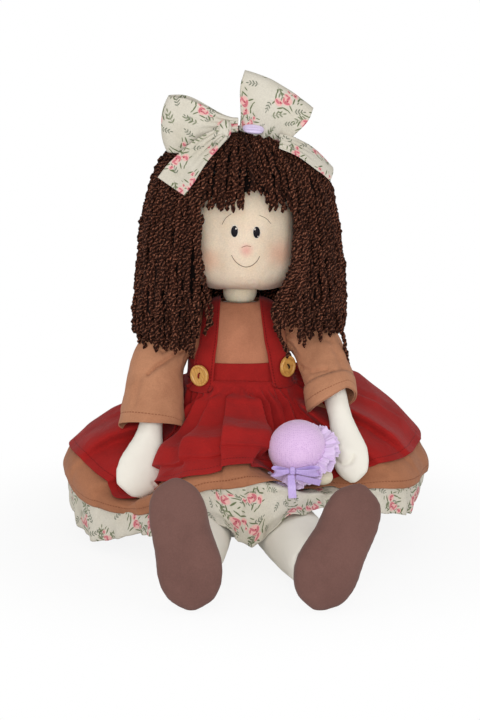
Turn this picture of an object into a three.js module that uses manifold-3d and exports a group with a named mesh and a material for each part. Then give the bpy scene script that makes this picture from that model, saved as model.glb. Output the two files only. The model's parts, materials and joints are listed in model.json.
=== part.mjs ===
// A seated rag doll with yarn hair, a fabric bow, layered skirts and a small bonnet baby on its lap.
// Millimetres, +Z up. The doll faces -Y and its own right side is -X.
// The origin lies on the ground, in the middle of the flat seat that the torso sits on.
import * as THREE from 'three';
import { mergeVertices } from 'three/addons/utils/BufferGeometryUtils.js';
import Module from 'manifold-3d';

const wasm = await Module();
wasm.setup();

// Clearances and cloth
const seamGap = 0.4; // between two pieces that are sewn or rest together
const shortestEdge = 0.08; // a cut leaves no edge shorter than this
const clothGap = 1; // between two layers of cloth
const cloth = 1.8; // one layer of cotton with its turned seams
const doubledCloth = 2.2; // straps and waistband, cut double
const rightSide = -1;
const leftSide = 1;

// Torso: height, half width and half depth of its sections
const torsoHeight = 258;
const torsoSections = [
  [0, 54, 46], [6, 63, 54], [40, 69, 58], [90, 65, 55], [140, 57, 49], [182, 53, 45],
  [torsoHeight - 43, 52, 43], [torsoHeight - 24, 50, 38], [torsoHeight - 12, 44, 31],
  [torsoHeight - 5, 34, 25], [torsoHeight - 1, 24, 20.5], [torsoHeight, 18.5, 18.5],
];
const torsoSquareness = 2.4;
const torsoSteps = 24;

// Neck and head
const neckRadius = 18;
const neckBall = 20; // radius of the stuffed ball at the top of the neck
const nodHeight = torsoHeight + 12; // height of the axis that the head nods about
const headRecessGap = 1;
const headBase = nodHeight + 0.2;
const headSections = [
  [0, 30, 27], [3, 43, 37], [11, 52, 46], [28, 57, 51], [65, 58, 54], [100, 56, 53],
  [125, 47, 46], [140, 32, 32], [148, 14, 14],
];
const headCentreX = 4;
const headSquareness = 2.5;

// Arms
const shoulderHeight = torsoHeight - 26;
const armSeat = 48.5; // distance of the arm's sewn end from the middle plane
const armRoot = 15; // radius of the arm where it is sewn on
const armholeGap = 2.5;
const sleeveSeat = 56.6; // distance of the sleeve's armhole edge from the middle plane

// Legs and feet
const legRadius = 34;
const ankleRadius = 29;
const hipForward = 87.2;
const hipHeight = 36;
const ankleForward = 250;
const footLength = 140;
const footWidth = 70;
const footToeWidth = 65;
const footWaist = 61;
const footBack = 40; // depth of the foot behind the sole's edge
const footFront = 10; // how far the sole bulges
const footSoleForward = ankleForward + 31;
const footLean = 12; // degrees that the sole leans back

// Skirts
const waistHeight = 173;
const pleatCount = 9;
const pleatDepth = 4;
const around = 42; // steps round a skirt

// Pinafore
const bandBottom = 173.6;
const bandTop = 198;
const strapBottom = { right: 166, left: 170 };
const strapInnerAtBand = { right: 27.5, left: 32 };
const strapInnerAtShoulder = 20;
const strapWidthAtBand = 20.5;
const strapWidthAtShoulder = 17;
const buttonDiameter = 22.9;
const buttonThickness = 3.6;
const buttonHole = 2.2;
const buttonHoleSpacing = 5;
const buttonHeight = { right: 184.5, left: 193 };
const buttonX = { right: 37, left: 43 };

// Hair: height above the nod axis, half width and half depth of the whole head of hair
const hairEnd = -56;
const hairTop = 175;
const hairSections = [
  [hairEnd, 116, 86], [-20, 117, 88], [20, 114, 88], [60, 110, 86], [100, 103, 82], [hairTop - 45, 93, 76],
  [hairTop - 27, 80, 67], [hairTop - 14, 63, 54], [hairTop - 5, 42, 38], [hairTop, 20, 18],
];
const hairCentreX = 0;
const hairCentreY = 6;
const hairSquareness = 2.3;
const hairLockCount = 12;
const hairLockDepth = 4;
const hairSteps = 48;
const fringeTop = nodHeight + hairTop - 43;
const fringeBottom = nodHeight + 96;
const faceRight = -42; // the side curtains' inner edges
const faceLeft = 59;
const napeForward = 31; // front of the back curtain
const sideBack = 40; // back of the side curtains

// Bow
const ribbon = 2; // the bow's doubled cotton

// Bonnet baby
const bonnetCentre = [58, -124, 127];
const bonnetRadius = 30;
const crownFlatness = 0.86; // height of the crown above its frill, as a share of a ball's
const bonnetAxis = new THREE.Vector3(-0.42, -0.5, 0.76).normalize();
const frillSet = 13; // how far the frill sits behind the crown's centre
const frillWidth = 7.5;
const frillWaves = 10;
const frillThickness = 1.6;
const bonnetTie = [53.6, -153.6, 108.5]; // knot of the satin ribbon
const satinThickness = 1;
const babyCentre = [84, -127, 95.1];
const babySize = [15, 13, 10];

const doll = new THREE.Group();

// Surface helpers

const lerp = THREE.MathUtils.lerp;
const smooth = (x, low, high) => THREE.MathUtils.smoothstep(x, low, high);
const vec = (x, y, z) => new THREE.Vector3(x, y, z);

/** Reads a list of rows [key, value, value...] at a key, with smooth steps between rows. */
function readRows(rows, key) {
  const last = rows.length - 1;
  if (key <= rows[0][0]) return rows[0].slice(1);
  if (key >= rows[last][0]) return rows[last].slice(1);
  const i = rows.findIndex((row) => row[0] > key) - 1;
  const before = rows[Math.max(i - 1, 0)];
  const after = rows[Math.min(i + 2, last)];
  const [low, high] = [rows[i], rows[i + 1]];
  const span = high[0] - low[0];
  const t = (key - low[0]) / span;
  return low.slice(1).map((value, k) => {
    const next = high[k + 1];
    const slopeIn = ((next - before[k + 1]) / (high[0] - before[0])) * span;
    const slopeOut = ((after[k + 1] - value) / (after[0] - low[0])) * span;
    const t2 = t * t;
    const t3 = t2 * t;
    return (2 * t3 - 3 * t2 + 1) * value + (t3 - 2 * t2 + t) * slopeIn
      + (3 * t2 - 2 * t3) * next + (t3 - t2) * slopeOut;
  });
}

/** A point on a rounded-square outline with half sizes a and b, at an angle. */
function outline(angle, a, b, squareness) {
  const c = Math.cos(angle);
  const s = Math.sin(angle);
  const power = 2 / squareness;
  return [a * Math.sign(c) * Math.abs(c) ** power, b * Math.sign(s) * Math.abs(s) ** power];
}

/** Rings of points along a path; shape(t) gives half width, half depth and squareness. */
function sweptRings(path, widthAxis, shape, rings, steps) {
  const grid = [];
  for (let i = 0; i <= rings; i++) {
    const t = i / rings;
    const centre = path.getPointAt(t);
    const along = path.getTangentAt(t);
    const wide = widthAxis.clone().addScaledVector(along, -widthAxis.dot(along)).normalize();
    const deep = along.clone().cross(wide);
    const { a, b, squareness = 2 } = shape(t);
    grid.push(Array.from({ length: steps }, (_, k) => {
      const [u, v] = outline((2 * Math.PI * k) / steps, a, b, squareness);
      return centre.clone().addScaledVector(wide, u).addScaledVector(deep, v);
    }));
  }
  return grid;
}

/** Rings stacked along Z from rows of height, half width and half depth. */
function stackedRings(rows, heights, squareness, steps, centreX = 0, centreY = 0) {
  return heights.map((z) => {
    const [a, b] = readRows(rows, z);
    return Array.from({ length: steps }, (_, k) => {
      const [x, y] = outline((2 * Math.PI * k) / steps, a, b, squareness);
      return vec(centreX + x, centreY + y, z);
    });
  });
}

/** The normals of a grid's points; soften averages each with its neighbours that many times. */
function gridNormals(grid, closedRound = true, soften = 0) {
  const rows = grid.length;
  const columns = grid[0].length;
  const reader = (field) => (i, k) => {
    const row = field[THREE.MathUtils.clamp(i, 0, rows - 1)];
    return closedRound ? row[(k + columns) % columns] : row[THREE.MathUtils.clamp(k, 0, columns - 1)];
  };
  const at = reader(grid);
  let normals = grid.map((row, i) => row.map((_, k) => {
    const along = at(i + 1, k).clone().sub(at(i - 1, k));
    const across = at(i, k + 1).clone().sub(at(i, k - 1));
    return across.cross(along).normalize();
  }));
  for (let pass = 0; pass < soften; pass++) {
    const near = reader(normals);
    normals = normals.map((row, i) => row.map((normal, k) => {
      const sum = normal.clone().multiplyScalar(2);
      for (const [di, dk] of [[1, 0], [-1, 0], [0, 1], [0, -1]]) sum.add(near(i + di, k + dk));
      return sum.normalize();
    }));
  }
  return normals;
}

/** The grid moved along given directions; by may be a number or by(i). */
function movedGrid(grid, directions, by) {
  return grid.map((row, i) => row.map((point, k) => (
    point.clone().addScaledVector(directions[i][k], typeof by === 'function' ? by(i) : by)
  )));
}

const offsetGrid = (grid, by, closedRound = true, soften = 0) => (
  movedGrid(grid, gridNormals(grid, closedRound, soften), by)
);

/** Geometry from points and triangles, turned so that its faces point outwards. */
function closedGeometry(points, triangles) {
  let volume = 0;
  for (let i = 0; i < triangles.length; i += 3) {
    const [p, q, r] = [points[triangles[i]], points[triangles[i + 1]], points[triangles[i + 2]]];
    volume += p.dot(q.clone().cross(r));
  }
  const index = volume >= 0 ? triangles : triangles.slice().reverse();
  const geometry = new THREE.BufferGeometry().setFromPoints(points);
  geometry.setIndex(index);
  return geometry;
}

/** Triangles between pairs of rings; pairs from turnedFrom on are split along their other diagonal. */
function quadIndices(grid, rowPairs, turnedFrom = Infinity) {
  const columns = grid[0].length;
  const triangles = [];
  for (const [place, [i, j]] of rowPairs.entries()) {
    for (let k = 0; k < columns; k++) {
      const next = (k + 1) % columns;
      const [a, b, c, d] = [i * columns + k, i * columns + next, j * columns + next, j * columns + k];
      triangles.push(...(place < turnedFrom ? [a, b, c, a, c, d] : [a, b, d, b, c, d]));
    }
  }
  return triangles;
}

/** A closed solid through rings, with both ends capped. */
function loft(grid) {
  const columns = grid[0].length;
  const pairs = grid.slice(1).map((_, i) => [i, i + 1]);
  const points = grid.flat();
  const triangles = quadIndices(grid, pairs);
  for (const end of [0, grid.length - 1]) {
    const middle = grid[end].reduce((sum, p) => sum.add(p), vec(0, 0, 0)).divideScalar(columns);
    points.push(middle);
    for (let k = 0; k < columns; k++) {
      const [a, b] = [end * columns + k, end * columns + ((k + 1) % columns)];
      triangles.push(...(end === 0 ? [b, a, points.length - 1] : [a, b, points.length - 1]));
    }
  }
  return closedGeometry(points, triangles);
}

/** A tube-like wall between an inner and an outer grid of rings, open at both ends. */
function wall(outer, inner) {
  const grid = [...outer, ...inner.slice().reverse()];
  const pairs = grid.map((_, i) => [i, (i + 1) % grid.length]);
  return closedGeometry(grid.flat(), quadIndices(grid, pairs, outer.length));
}

/** A strip of cloth between two open grids of the same size. */
function strip(top, under) {
  const rings = top.map((row, i) => [...row, ...under[i].slice().reverse()]);
  return loft(rings);
}

// Solids for cutting and joining

function solidOf(geometry) {
  const bare = (geometry.index ? geometry.toNonIndexed() : geometry.clone());
  for (const name of Object.keys(bare.attributes)) {
    if (name !== 'position') bare.deleteAttribute(name);
  }
  const merged = mergeVertices(bare, 1e-3);
  return new wasm.Manifold(new wasm.Mesh({
    numProp: 3,
    vertProperties: new Float32Array(merged.attributes.position.array),
    triVerts: new Uint32Array(merged.index.array),
  }));
}

function geometryOf(solid) {
  const mesh = solid.getMesh();
  const points = Array.from({ length: mesh.vertProperties.length / 3 }, (_, i) => (
    vec(...mesh.vertProperties.slice(3 * i, 3 * i + 3))
  ));
  const faces = Array.from({ length: mesh.triVerts.length / 3 }, (_, i) => [...mesh.triVerts.slice(3 * i, 3 * i + 3)]);
  const geometry = new THREE.BufferGeometry().setFromPoints(points);
  geometry.setIndex(closeShortEdges(points, faces).flat());
  return geometry;
}

/** Draws the ends of each very short edge together, so that a cut leaves no slivers. */
function closeShortEdges(points, faces) {
  const isShort = (a, b) => points[a].distanceTo(points[b]) < shortestEdge;
  const around = (a) => new Set(faces.filter((face) => face.includes(a)).flat());
  const edges = faces.flatMap(([p, q, r]) => [[p, q], [q, r], [r, p]]).filter(([a, b]) => isShort(a, b));
  for (const [a, b] of [...edges, ...edges, ...edges]) {
    if (!faces.some((face) => face.includes(a) && face.includes(b))) continue;
    const nearB = around(b);
    const shared = [...around(a)].filter((c) => c !== a && c !== b && nearB.has(c));
    if (shared.length !== 2) continue;
    faces = faces
      .map((face) => face.map((corner) => (corner === b ? a : corner)))
      .filter((face) => new Set(face).size === 3);
  }
  return faces;
}

/** The largest single body of a solid: what booleans leave besides it is loose scrap. */
function largest(solid) {
  const bodies = solid.decompose();
  return bodies.reduce((best, body) => (body.volume() > best.volume() ? body : best));
}

function boxSolid(low, high) {
  const size = high.map((value, i) => value - low[i]);
  const geometry = new THREE.BoxGeometry(...size);
  geometry.translate(...low.map((value, i) => value + size[i] / 2));
  return solidOf(geometry);
}

function cylinderAlongX(radius, fromX, toX, height, steps = 32) {
  const geometry = new THREE.CylinderGeometry(radius, radius, Math.abs(toX - fromX), steps);
  geometry.rotateZ(Math.PI / 2);
  geometry.translate((fromX + toX) / 2, 0, height);
  return solidOf(geometry);
}

function ballSolid(radius, centre, steps = 24) {
  const geometry = new THREE.SphereGeometry(radius, steps, steps / 2);
  geometry.translate(...centre);
  return solidOf(geometry);
}

// Materials

const material = (color, roughness = 0.9) => new THREE.MeshStandardMaterial({ color, roughness, metalness: 0 });
const creamCotton = material(0xe6dcc8);
const tanCotton = material(0xa87252);
const redCotton = material(0x9c2226);
const floralCotton = material(0xe4dfce);
const footCotton = material(0x765752);
const yarn = material(0x3f241c, 0.95);
const wood = material(0xc8923f, 0.55);
const lilacCotton = material(0xd9b8dc);
const lilacLace = material(0xc79fdb);
const lilacSatin = material(0xcdb9ea, 0.45);
const beigeCotton = material(0xbfa981);

function addPiece(name, geometry, finish) {
  const mesh = new THREE.Mesh(geometry, finish);
  mesh.name = name;
  doll.add(mesh);
}

// Torso and dress bodice

const bodiceBottom = waistHeight + 1;
const bodiceTop = torsoHeight - 1.4;
const torsoHeights = [
  0, 6, 40, 90, 140, bandBottom, bodiceBottom, bandTop,
  ...[43, 28, 18, 10, 4].map((down) => Math.max(torsoHeight - down, lerp(bandTop, torsoHeight, 1 - down / 60))),
  bodiceTop, torsoHeight,
];
const torsoGrid = stackedRings(torsoSections, torsoHeights, torsoSquareness, torsoSteps);

/** The torso's own surface between two of its heights, moved out by a distance. */
function torsoShell(bottom, top, distance) {
  const grid = offsetGrid(torsoGrid, distance);
  return grid.slice(torsoHeights.indexOf(bottom), torsoHeights.indexOf(top) + 1);
}

function armhole(side, from) {
  return cylinderAlongX(armRoot + armholeGap, side * from, side * 90, shoulderHeight, 24);
}

function makeTorso() {
  let torso = solidOf(loft(torsoGrid));
  for (const side of [rightSide, leftSide]) torso = torso.subtract(armhole(side, armSeat));
  return geometryOf(torso);
}

function makeBodice() {
  const inner = torsoShell(bodiceBottom, bodiceTop, seamGap);
  const outer = torsoShell(bodiceBottom, bodiceTop, seamGap + cloth);
  let bodice = solidOf(wall(outer, inner));
  for (const side of [rightSide, leftSide]) bodice = bodice.subtract(armhole(side, 20));
  return geometryOf(largest(bodice));
}

addPiece('torso', makeTorso(), creamCotton);
addPiece('bodice', makeBodice(), tanCotton);

// Pinafore: waistband, straps and buttons

const overBodice = seamGap + cloth + seamGap;
const overBand = overBodice + doubledCloth + seamGap;

function makeWaistband() {
  const inner = torsoShell(bandBottom, bandTop, overBodice);
  const outer = torsoShell(bandBottom, bandTop, overBodice + doubledCloth);
  return wall(outer, inner);
}

/** Height where the torso is only x wide, which a strap at x crosses over the shoulder. */
function crestHeight(x) {
  let low = bandTop;
  let high = torsoHeight;
  for (let i = 0; i < 40; i++) {
    const middle = (low + high) / 2;
    if (readRows(torsoSections, middle)[0] > x) low = middle;
    else high = middle;
  }
  return low;
}

/** Depth of the torso's surface in front of its middle at x and height z. */
function torsoDepth(x, z) {
  const [a, b] = readRows(torsoSections, z);
  return b * Math.max(1 - (Math.abs(x) / a) ** torsoSquareness, 0) ** (1 / torsoSquareness);
}

function strapLift(z) {
  const flare = 0.85 * Math.max(bandBottom - 1 - z, 0);
  return lerp(overBand + 1.2, overBodice + 0.5, smooth(z, bandTop + 8, bandTop + 22)) + flare;
}

function makeStrap(side) {
  const along = 22;
  const across = 3;
  const bottom = side < 0 ? strapBottom.right : strapBottom.left;
  const surface = [];
  for (let i = 0; i <= along; i++) {
    const u = i / along;
    const climb = 0.5 - 0.5 * Math.cos(2 * Math.PI * u);
    const inner = lerp(side < 0 ? strapInnerAtBand.right : strapInnerAtBand.left, strapInnerAtShoulder, climb);
    const width = lerp(strapWidthAtBand, strapWidthAtShoulder, climb);
    surface.push(Array.from({ length: across + 1 }, (_, k) => {
      const v = (2 * k) / across - 1;
      const x = inner + (width * k) / across;
      const foot = (u < 0.5 ? bottom : bandBottom + 2) + 5 * v ** 4 * (1 - climb) ** 8;
      const z = lerp(foot, crestHeight(x), climb);
      const depth = torsoDepth(x, z);
      return vec(side * x, u < 0.5 ? -depth : depth, z);
    }));
  }
  const turned = side < 0 ? surface.map((row) => row.slice().reverse()) : surface;
  const lift = (i) => strapLift(turned[i][1].z);
  const normals = gridNormals(turned, false, 1);
  const under = movedGrid(turned, normals, lift);
  const top = movedGrid(turned, normals, (i) => lift(i) + doubledCloth);
  return strip(top, under);
}

/** Where a button sits on its strap's end, and the way that it faces. */
function buttonSeat(side) {
  const height = side < 0 ? buttonHeight.right : buttonHeight.left;
  const x = side < 0 ? buttonX.right : buttonX.left;
  const [a, b] = readRows(torsoSections, height);
  const depth = torsoDepth(x, height);
  const power = torsoSquareness - 1;
  const facing = vec((side * (x / a) ** power) / a, -((depth / b) ** power) / b, 0).normalize();
  const stand = overBand + 1.2 + doubledCloth + seamGap + buttonThickness / 2 + 0.7;
  return { centre: vec(side * x, -depth, height).addScaledVector(facing, stand), facing };
}

function onButtonSeat(geometry, side) {
  const { centre, facing } = buttonSeat(side);
  geometry.applyQuaternion(new THREE.Quaternion().setFromUnitVectors(vec(0, 1, 0), facing));
  geometry.translate(centre.x, centre.y, centre.z);
  return geometry;
}

function makeButton(side) {
  const half = buttonThickness / 2;
  const radius = buttonDiameter / 2;
  const rimWidth = 2.2;
  const dish = 0.9;
  const profile = [
    [0, -half], [radius - 1.4, -half], [radius, -half + 1.2], [radius, half - 0.8],
    [radius - 0.8, half], [radius - rimWidth, half], [radius - rimWidth - 1, half - dish], [0, half - dish],
  ].map(([x, y]) => new THREE.Vector2(x, y));
  let button = solidOf(new THREE.LatheGeometry(profile, 20));
  for (const offset of [-buttonHoleSpacing / 2, buttonHoleSpacing / 2]) {
    const hole = new THREE.CylinderGeometry(buttonHole / 2, buttonHole / 2, buttonThickness * 3, 8);
    hole.translate(offset, 0, 0);
    button = button.subtract(solidOf(hole));
  }
  return onButtonSeat(geometryOf(button), side);
}

addPiece('pinafore_waistband', makeWaistband(), redCotton);
addPiece('strap_right', makeStrap(rightSide), redCotton);
addPiece('strap_left', makeStrap(leftSide), redCotton);
addPiece('button_right', makeButton(rightSide), wood);
addPiece('button_left', makeButton(leftSide), wood);

// Legs and feet

const hipX = { right: -38, left: 40 };
const ankleX = { right: -50, left: 80 };
const heelInwards = { right: 3, left: -7 };
const footTilt = { right: -5, left: 18 }; // degrees that the toes lean outwards

function legCentreX(name, forward) {
  return lerp(hipX[name], ankleX[name], (forward - hipForward) / (ankleForward - hipForward));
}

function makeFoot(name) {
  const rings = 11;
  const steps = 18;
  const mirrored = name === 'right' ? 1 : -1;
  const path = new THREE.CatmullRomCurve3([
    vec(0, 0, 2), vec(2 * mirrored, 0, 30), vec(2 * mirrored, 0, 50), vec(-3 * mirrored, 0, 78),
    vec(-5 * mirrored, 0, 105), vec(-4 * mirrored, 0, footLength - 2),
  ]);
  const width = (t) => {
    const roundEnds = Math.max(1 - Math.abs(2 * t - 1) ** 3.2, 0.012) ** 0.5;
    const body = readRows([[0, footWidth], [0.3, footWidth], [0.55, footWaist], [0.8, footToeWidth], [1, footToeWidth]], t)[0];
    return (roundEnds * body) / 2;
  };
  const grid = sweptRings(path, vec(1, 0, 0), (t) => ({ a: width(t), b: width(t) * 0.7, squareness: 2.2 }), rings, steps);
  for (const [i, ring] of grid.entries()) {
    const t = i / rings;
    const full = width(t) / (footWidth / 2);
    for (const point of ring) {
      const share = point.y / Math.max(width(t) * 0.7, 0.1);
      point.y = share > 0 ? share * footBack * Math.min(full, 1) * lerp(1, 0.72, t) : share * footFront * full;
    }
  }
  const foot = loft(grid);
  foot.rotateX(THREE.MathUtils.degToRad(-footLean));
  foot.rotateY(THREE.MathUtils.degToRad(footTilt[name]));
  foot.computeBoundingBox();
  foot.translate(ankleX[name] + heelInwards[name], -footSoleForward, -foot.boundingBox.min.z);
  return foot;
}

function makeLeg(name, foot) {
  const start = vec(hipX[name], -hipForward, hipHeight);
  const end = vec(ankleX[name], -ankleForward, hipHeight + 1);
  const along = end.clone().sub(start).normalize();
  const path = new THREE.CatmullRomCurve3([start, start.clone().lerp(end, 0.5), end]);
  const radius = (t) => lerp(legRadius, ankleRadius, smooth(t, 0.45, 1));
  const shank = sweptRings(path, vec(1, 0, 0), (t) => ({ a: radius(t), b: radius(t), squareness: 2 }), 5, 18);
  const domeSteps = 4;
  const dome = Array.from({ length: domeSteps }, (_, i) => {
    const angle = (Math.PI / 2) * ((i + 0.35) / domeSteps);
    return shank[0].map((point) => {
      const spoke = point.clone().sub(start);
      return start.clone().addScaledVector(spoke, Math.sin(angle)).addScaledVector(along, -legRadius * Math.cos(angle));
    });
  });
  const ground = boxSolid([-300, -400, -50], [300, 100, 0.2]);
  const grownFoot = [[0, 0, 0], [0, 0.5, 0], [0.4, 0.4, 0], [-0.4, 0.4, 0], [0, 0.4, 0.4]]
    .map((way) => solidOf(foot).translate(way)).reduce((sum, part) => sum.add(part));
  const leg = solidOf(loft([...dome, ...shank])).subtract(grownFoot).subtract(ground);
  return geometryOf(largest(leg));
}

for (const name of ['right', 'left']) {
  const foot = makeFoot(name);
  addPiece(`foot_${name}`, foot, footCotton);
  addPiece(`leg_${name}`, makeLeg(name, foot), creamCotton);
}

// Sleeves and arms

const armRoutes = {
  right: [[-52, 0, shoulderHeight], [-68, -4, shoulderHeight - 6], [-88, -20, 196], [-94, -40, 165], [-95, -62, 136], [-101, -82, 105], [-107, -93, 81], [-110, -98, 61]],
  left: [[52, 0, shoulderHeight], [68, -4, shoulderHeight - 4], [85, -18, 208], [95, -40, 184], [103, -62, 160], [110, -84, 133], [117, -101, 105], [119, -112, 82]],
};
const sleeveRoutes = {
  right: [[-50, 0, shoulderHeight], [-68, -3, shoulderHeight - 6], [-88, -19, 197], [-93, -38, 166], [-95, -60, 132]],
  left: [[50, 0, shoulderHeight], [68, -3, shoulderHeight - 4], [85, -17, 208], [94, -38, 185], [98, -58, 162]],
};
const sleeveSizes = {
  right: [[0, 25, 25], [0.4, 28, 27], [0.7, 32, 28], [1, 36, 27]],
  left: [[0, 25, 25], [0.4, 27, 27], [0.75, 27, 27], [1, 26, 27]],
};
// Share of the arm, half width and half thickness
const armSizes = {
  right: [[0, 15, 15], [0.12, 16.5, 15.5], [0.4, 16.5, 15.5], [0.6, 14.6, 14], [0.7, 19, 13.5], [0.82, 28, 13.5], [0.92, 27, 12.5], [0.97, 19, 9], [1, 6, 4]],
  left: [[0, 15, 15], [0.12, 16.5, 15.5], [0.4, 16.5, 15.5], [0.6, 14, 13.5], [0.72, 17, 13.5], [0.83, 22, 13.5], [0.92, 20, 12.5], [0.97, 14, 9], [1, 5, 4]],
};
const curveOf = (route) => new THREE.CatmullRomCurve3(route.map((p) => vec(...p)));

const beyondSeat = (side) => (side < 0
  ? boxSolid([-300, -300, 0], [-sleeveSeat, 300, 400])
  : boxSolid([sleeveSeat, -300, 0], [300, 300, 400]));

function sleeveRings(name, grow) {
  const size = (t) => readRows(sleeveSizes[name], t);
  const shape = (t) => ({ a: size(t)[0] + grow, b: size(t)[1] + grow, squareness: 2.1 });
  return sweptRings(curveOf(sleeveRoutes[name]), vec(1, 0, 0.15), shape, 7, 18);
}

function makeSleeve(name, side) {
  const shell = solidOf(wall(sleeveRings(name, 0), sleeveRings(name, -cloth)));
  return geometryOf(largest(shell.intersect(beyondSeat(side))));
}

function makeTurnUp(name) {
  const rows = sleeveRings(name, 0).length;
  const start = rows - 3;
  const outer = sleeveRings(name, seamGap + cloth).slice(start);
  const inner = sleeveRings(name, seamGap).slice(start);
  return wall(outer, inner);
}

function makeArm(name, side) {
  const shape = (t) => {
    const [a, b] = readRows(armSizes[name], t);
    return { a, b, squareness: 2.1 };
  };
  const limb = solidOf(loft(sweptRings(curveOf(armRoutes[name]), vec(1, 0, -0.1), shape, 17, 14)));
  const root = cylinderAlongX(armRoot, side * (armSeat + seamGap), side * 70, shoulderHeight, 24);
  return geometryOf(largest(limb.intersect(beyondSeat(side)).add(root)));
}

for (const [name, side] of [['right', rightSide], ['left', leftSide]]) {
  addPiece(`sleeve_${name}`, makeSleeve(name, side), tanCotton);
  addPiece(`arm_${name}`, makeArm(name, side), creamCotton);
}
addPiece('turn_up_left', makeTurnUp('left'), tanCotton);

// Skirts: one draped surface that all three layers follow
// Rows: direction in degrees from +X, reach of the hem, its height, puff between waist and hem,
// then how far the petticoat goes on outwards and how high its own hem ends.

const drapeRows = [
  [-180, 197, 66, 16, -4, 34], [-152, 178, 47, 4, -2, 4], [-131, 164, 46, -4, -2, 21],
  [-110, 166, 78, -6, 14, 42], [-88, 162, 84, -8, 4, 26], [-70, 166, 88, -8, 22, 42],
  [-50, 172, 72, -6, 10, 34], [-30, 188, 66, 2, -2, 28], [0, 210, 66, 14, -14, 30],
  [28, 208, 72, 44, -20, 12], [55, 186, 58, 34, -18, 5], [90, 150, 42, 10, -8, 4],
  [130, 170, 46, 8, -12, 4], [180, 197, 66, 16, -4, 34],
];
const petticoatEnd = 1.42;
// Shares of the way from the waist to the underskirt's hem that the layers' rows lie at
const drapeShares = [0, 0.14, 0.27, 0.4, 0.54, 0.67, 0.8, 0.9, 1, 1.14, 1.28, petticoatEnd];
const pinaforeRows = [0, 6];
const underskirtRows = [0, 8];
const petticoatRows = [1, 11];

/** Height that the drape must keep above at x, y: over a leg, or over the ground. */
function drapeFloor(x, y) {
  const reach = legRadius + 6.5;
  const straightFrom = 0.88 * reach; // beyond this the cloth hangs off the leg in a straight slope
  const drop = Math.sqrt(reach ** 2 - straightFrom ** 2);
  let height = 4.6;
  for (const name of ['right', 'left']) {
    const across = Math.abs(x - legCentreX(name, -y));
    const near = Math.min(across, straightFrom);
    const slope = (across - near) * (straightFrom / drop);
    if (-y > 55) height = Math.max(height, hipHeight + Math.sqrt(reach ** 2 - near ** 2) - slope);
  }
  return height;
}

// Balls that the drape must stay under: centre and half sizes along X, Y and Z
const pressing = [];
for (const name of ['right', 'left']) {
  const arm = curveOf(armRoutes[name]);
  const sleeve = curveOf(sleeveRoutes[name]);
  for (let i = 4; i <= 20; i++) {
    const t = i / 20;
    const [a, b] = readRows(armSizes[name], t);
    pressing.push([arm.getPointAt(t), a, b, b]);
    const [sleeveWidth, sleeveDepth] = readRows(sleeveSizes[name], t);
    pressing.push([sleeve.getPointAt(t), sleeveWidth, sleeveDepth, sleeveDepth]);
  }
}

const frillCentre = vec(...bonnetCentre).addScaledVector(bonnetAxis, -frillSet);
pressing.push([vec(...bonnetCentre), bonnetRadius, bonnetRadius, bonnetRadius]);
pressing.push([frillCentre, bonnetRadius + frillWidth + 2, bonnetRadius + frillWidth, bonnetRadius - 1.35]);

/** Height that the drape must keep below at x, y: under the arms and what lies on the lap. */
function drapeCeiling(x, y) {
  const room = 10.5;
  let height = Infinity;
  for (const [centre, a, b, c] of pressing) {
    const away = Math.hypot((x - centre.x) / (a + room), (y - centre.y) / (b + room));
    const drop = away < 1 ? (c + room) * Math.sqrt(1 - away ** 2) : -60 * (away - 1);
    height = Math.min(height, centre.z - drop);
  }
  return height;
}

/** A point of the drape: angle round the waist, and share of the way from waist to hem. */
function drapePoint(angle, share) {
  const degrees = THREE.MathUtils.radToDeg(Math.atan2(Math.sin(angle), Math.cos(angle)));
  const [reach, hem, puff, reachOn, end] = readRows(drapeRows, degrees);
  const [a, b] = readRows(torsoSections, waistHeight);
  const waist = seamGap + 0.2 + 1 / ((Math.abs(Math.cos(angle)) / a) ** torsoSquareness
    + (Math.abs(Math.sin(angle)) / b) ** torsoSquareness) ** (1 / torsoSquareness);
  const turnDown = 30;
  const slopeTo = (t, rise) => vec(lerp(waist, reach, t), 0, lerp(waistHeight - 6, hem + turnDown, t) + rise);
  const profile = new THREE.CatmullRomCurve3([
    vec(waist, 0, waistHeight), vec(waist + 9.5, 0, waistHeight - 8), slopeTo(0.38, puff), slopeTo(0.76, puff),
    vec(reach, 0, hem + turnDown * 0.85), vec(reach - 3, 0, hem),
  ], false, 'centripetal');
  let point;
  if (share <= 1) {
    point = profile.getPoint(share);
  } else {
    const on = (share - 1) / (petticoatEnd - 1);
    point = vec(reach - 3 + reachOn * on + 3 * Math.sin(Math.PI * on), 0, lerp(hem, end, on));
  }
  const ripple = pleatDepth * smooth(share, 0.02, 0.5) * Math.sin(pleatCount * angle + 1.3 * Math.sin(2 * angle));
  const radius = point.x + ripple;
  return vec(radius * Math.cos(angle), radius * Math.sin(angle), point.z + 0.4 * ripple);
}

/** Keeps a point of the drape over the legs and the ground, and under what presses on it. */
function settle(point, share) {
  const pressed = share > 0.1 ? Math.min(point.z, drapeCeiling(point.x, point.y)) : point.z;
  return vec(point.x, point.y, share > 0.3 ? Math.max(pressed, drapeFloor(point.x, point.y)) : pressed);
}

/** The drape as rows of points, evened out so that its layers can follow it. */
function makeDrape() {
  let rows = drapeShares.map((share) => (
    Array.from({ length: around }, (_, k) => settle(drapePoint((2 * Math.PI * k) / around, share), share))
  ));
  const last = rows.length - 1;
  for (let pass = 0; pass < 7; pass++) {
    rows = rows.map((row, i) => row.map((point, k) => {
      if (i < 1) return point;
      const sides = row[(k + 1) % around].z + row[(k + around - 1) % around].z;
      const lines = rows[i - 1][k].z + rows[Math.min(i + 1, last)][k].z;
      const evened = i === last ? point.z : 0.4 * point.z + 0.15 * (sides + lines);
      return settle(vec(point.x, point.y, evened), drapeShares[i]);
    }));
  }
  return rows;
}

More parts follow.
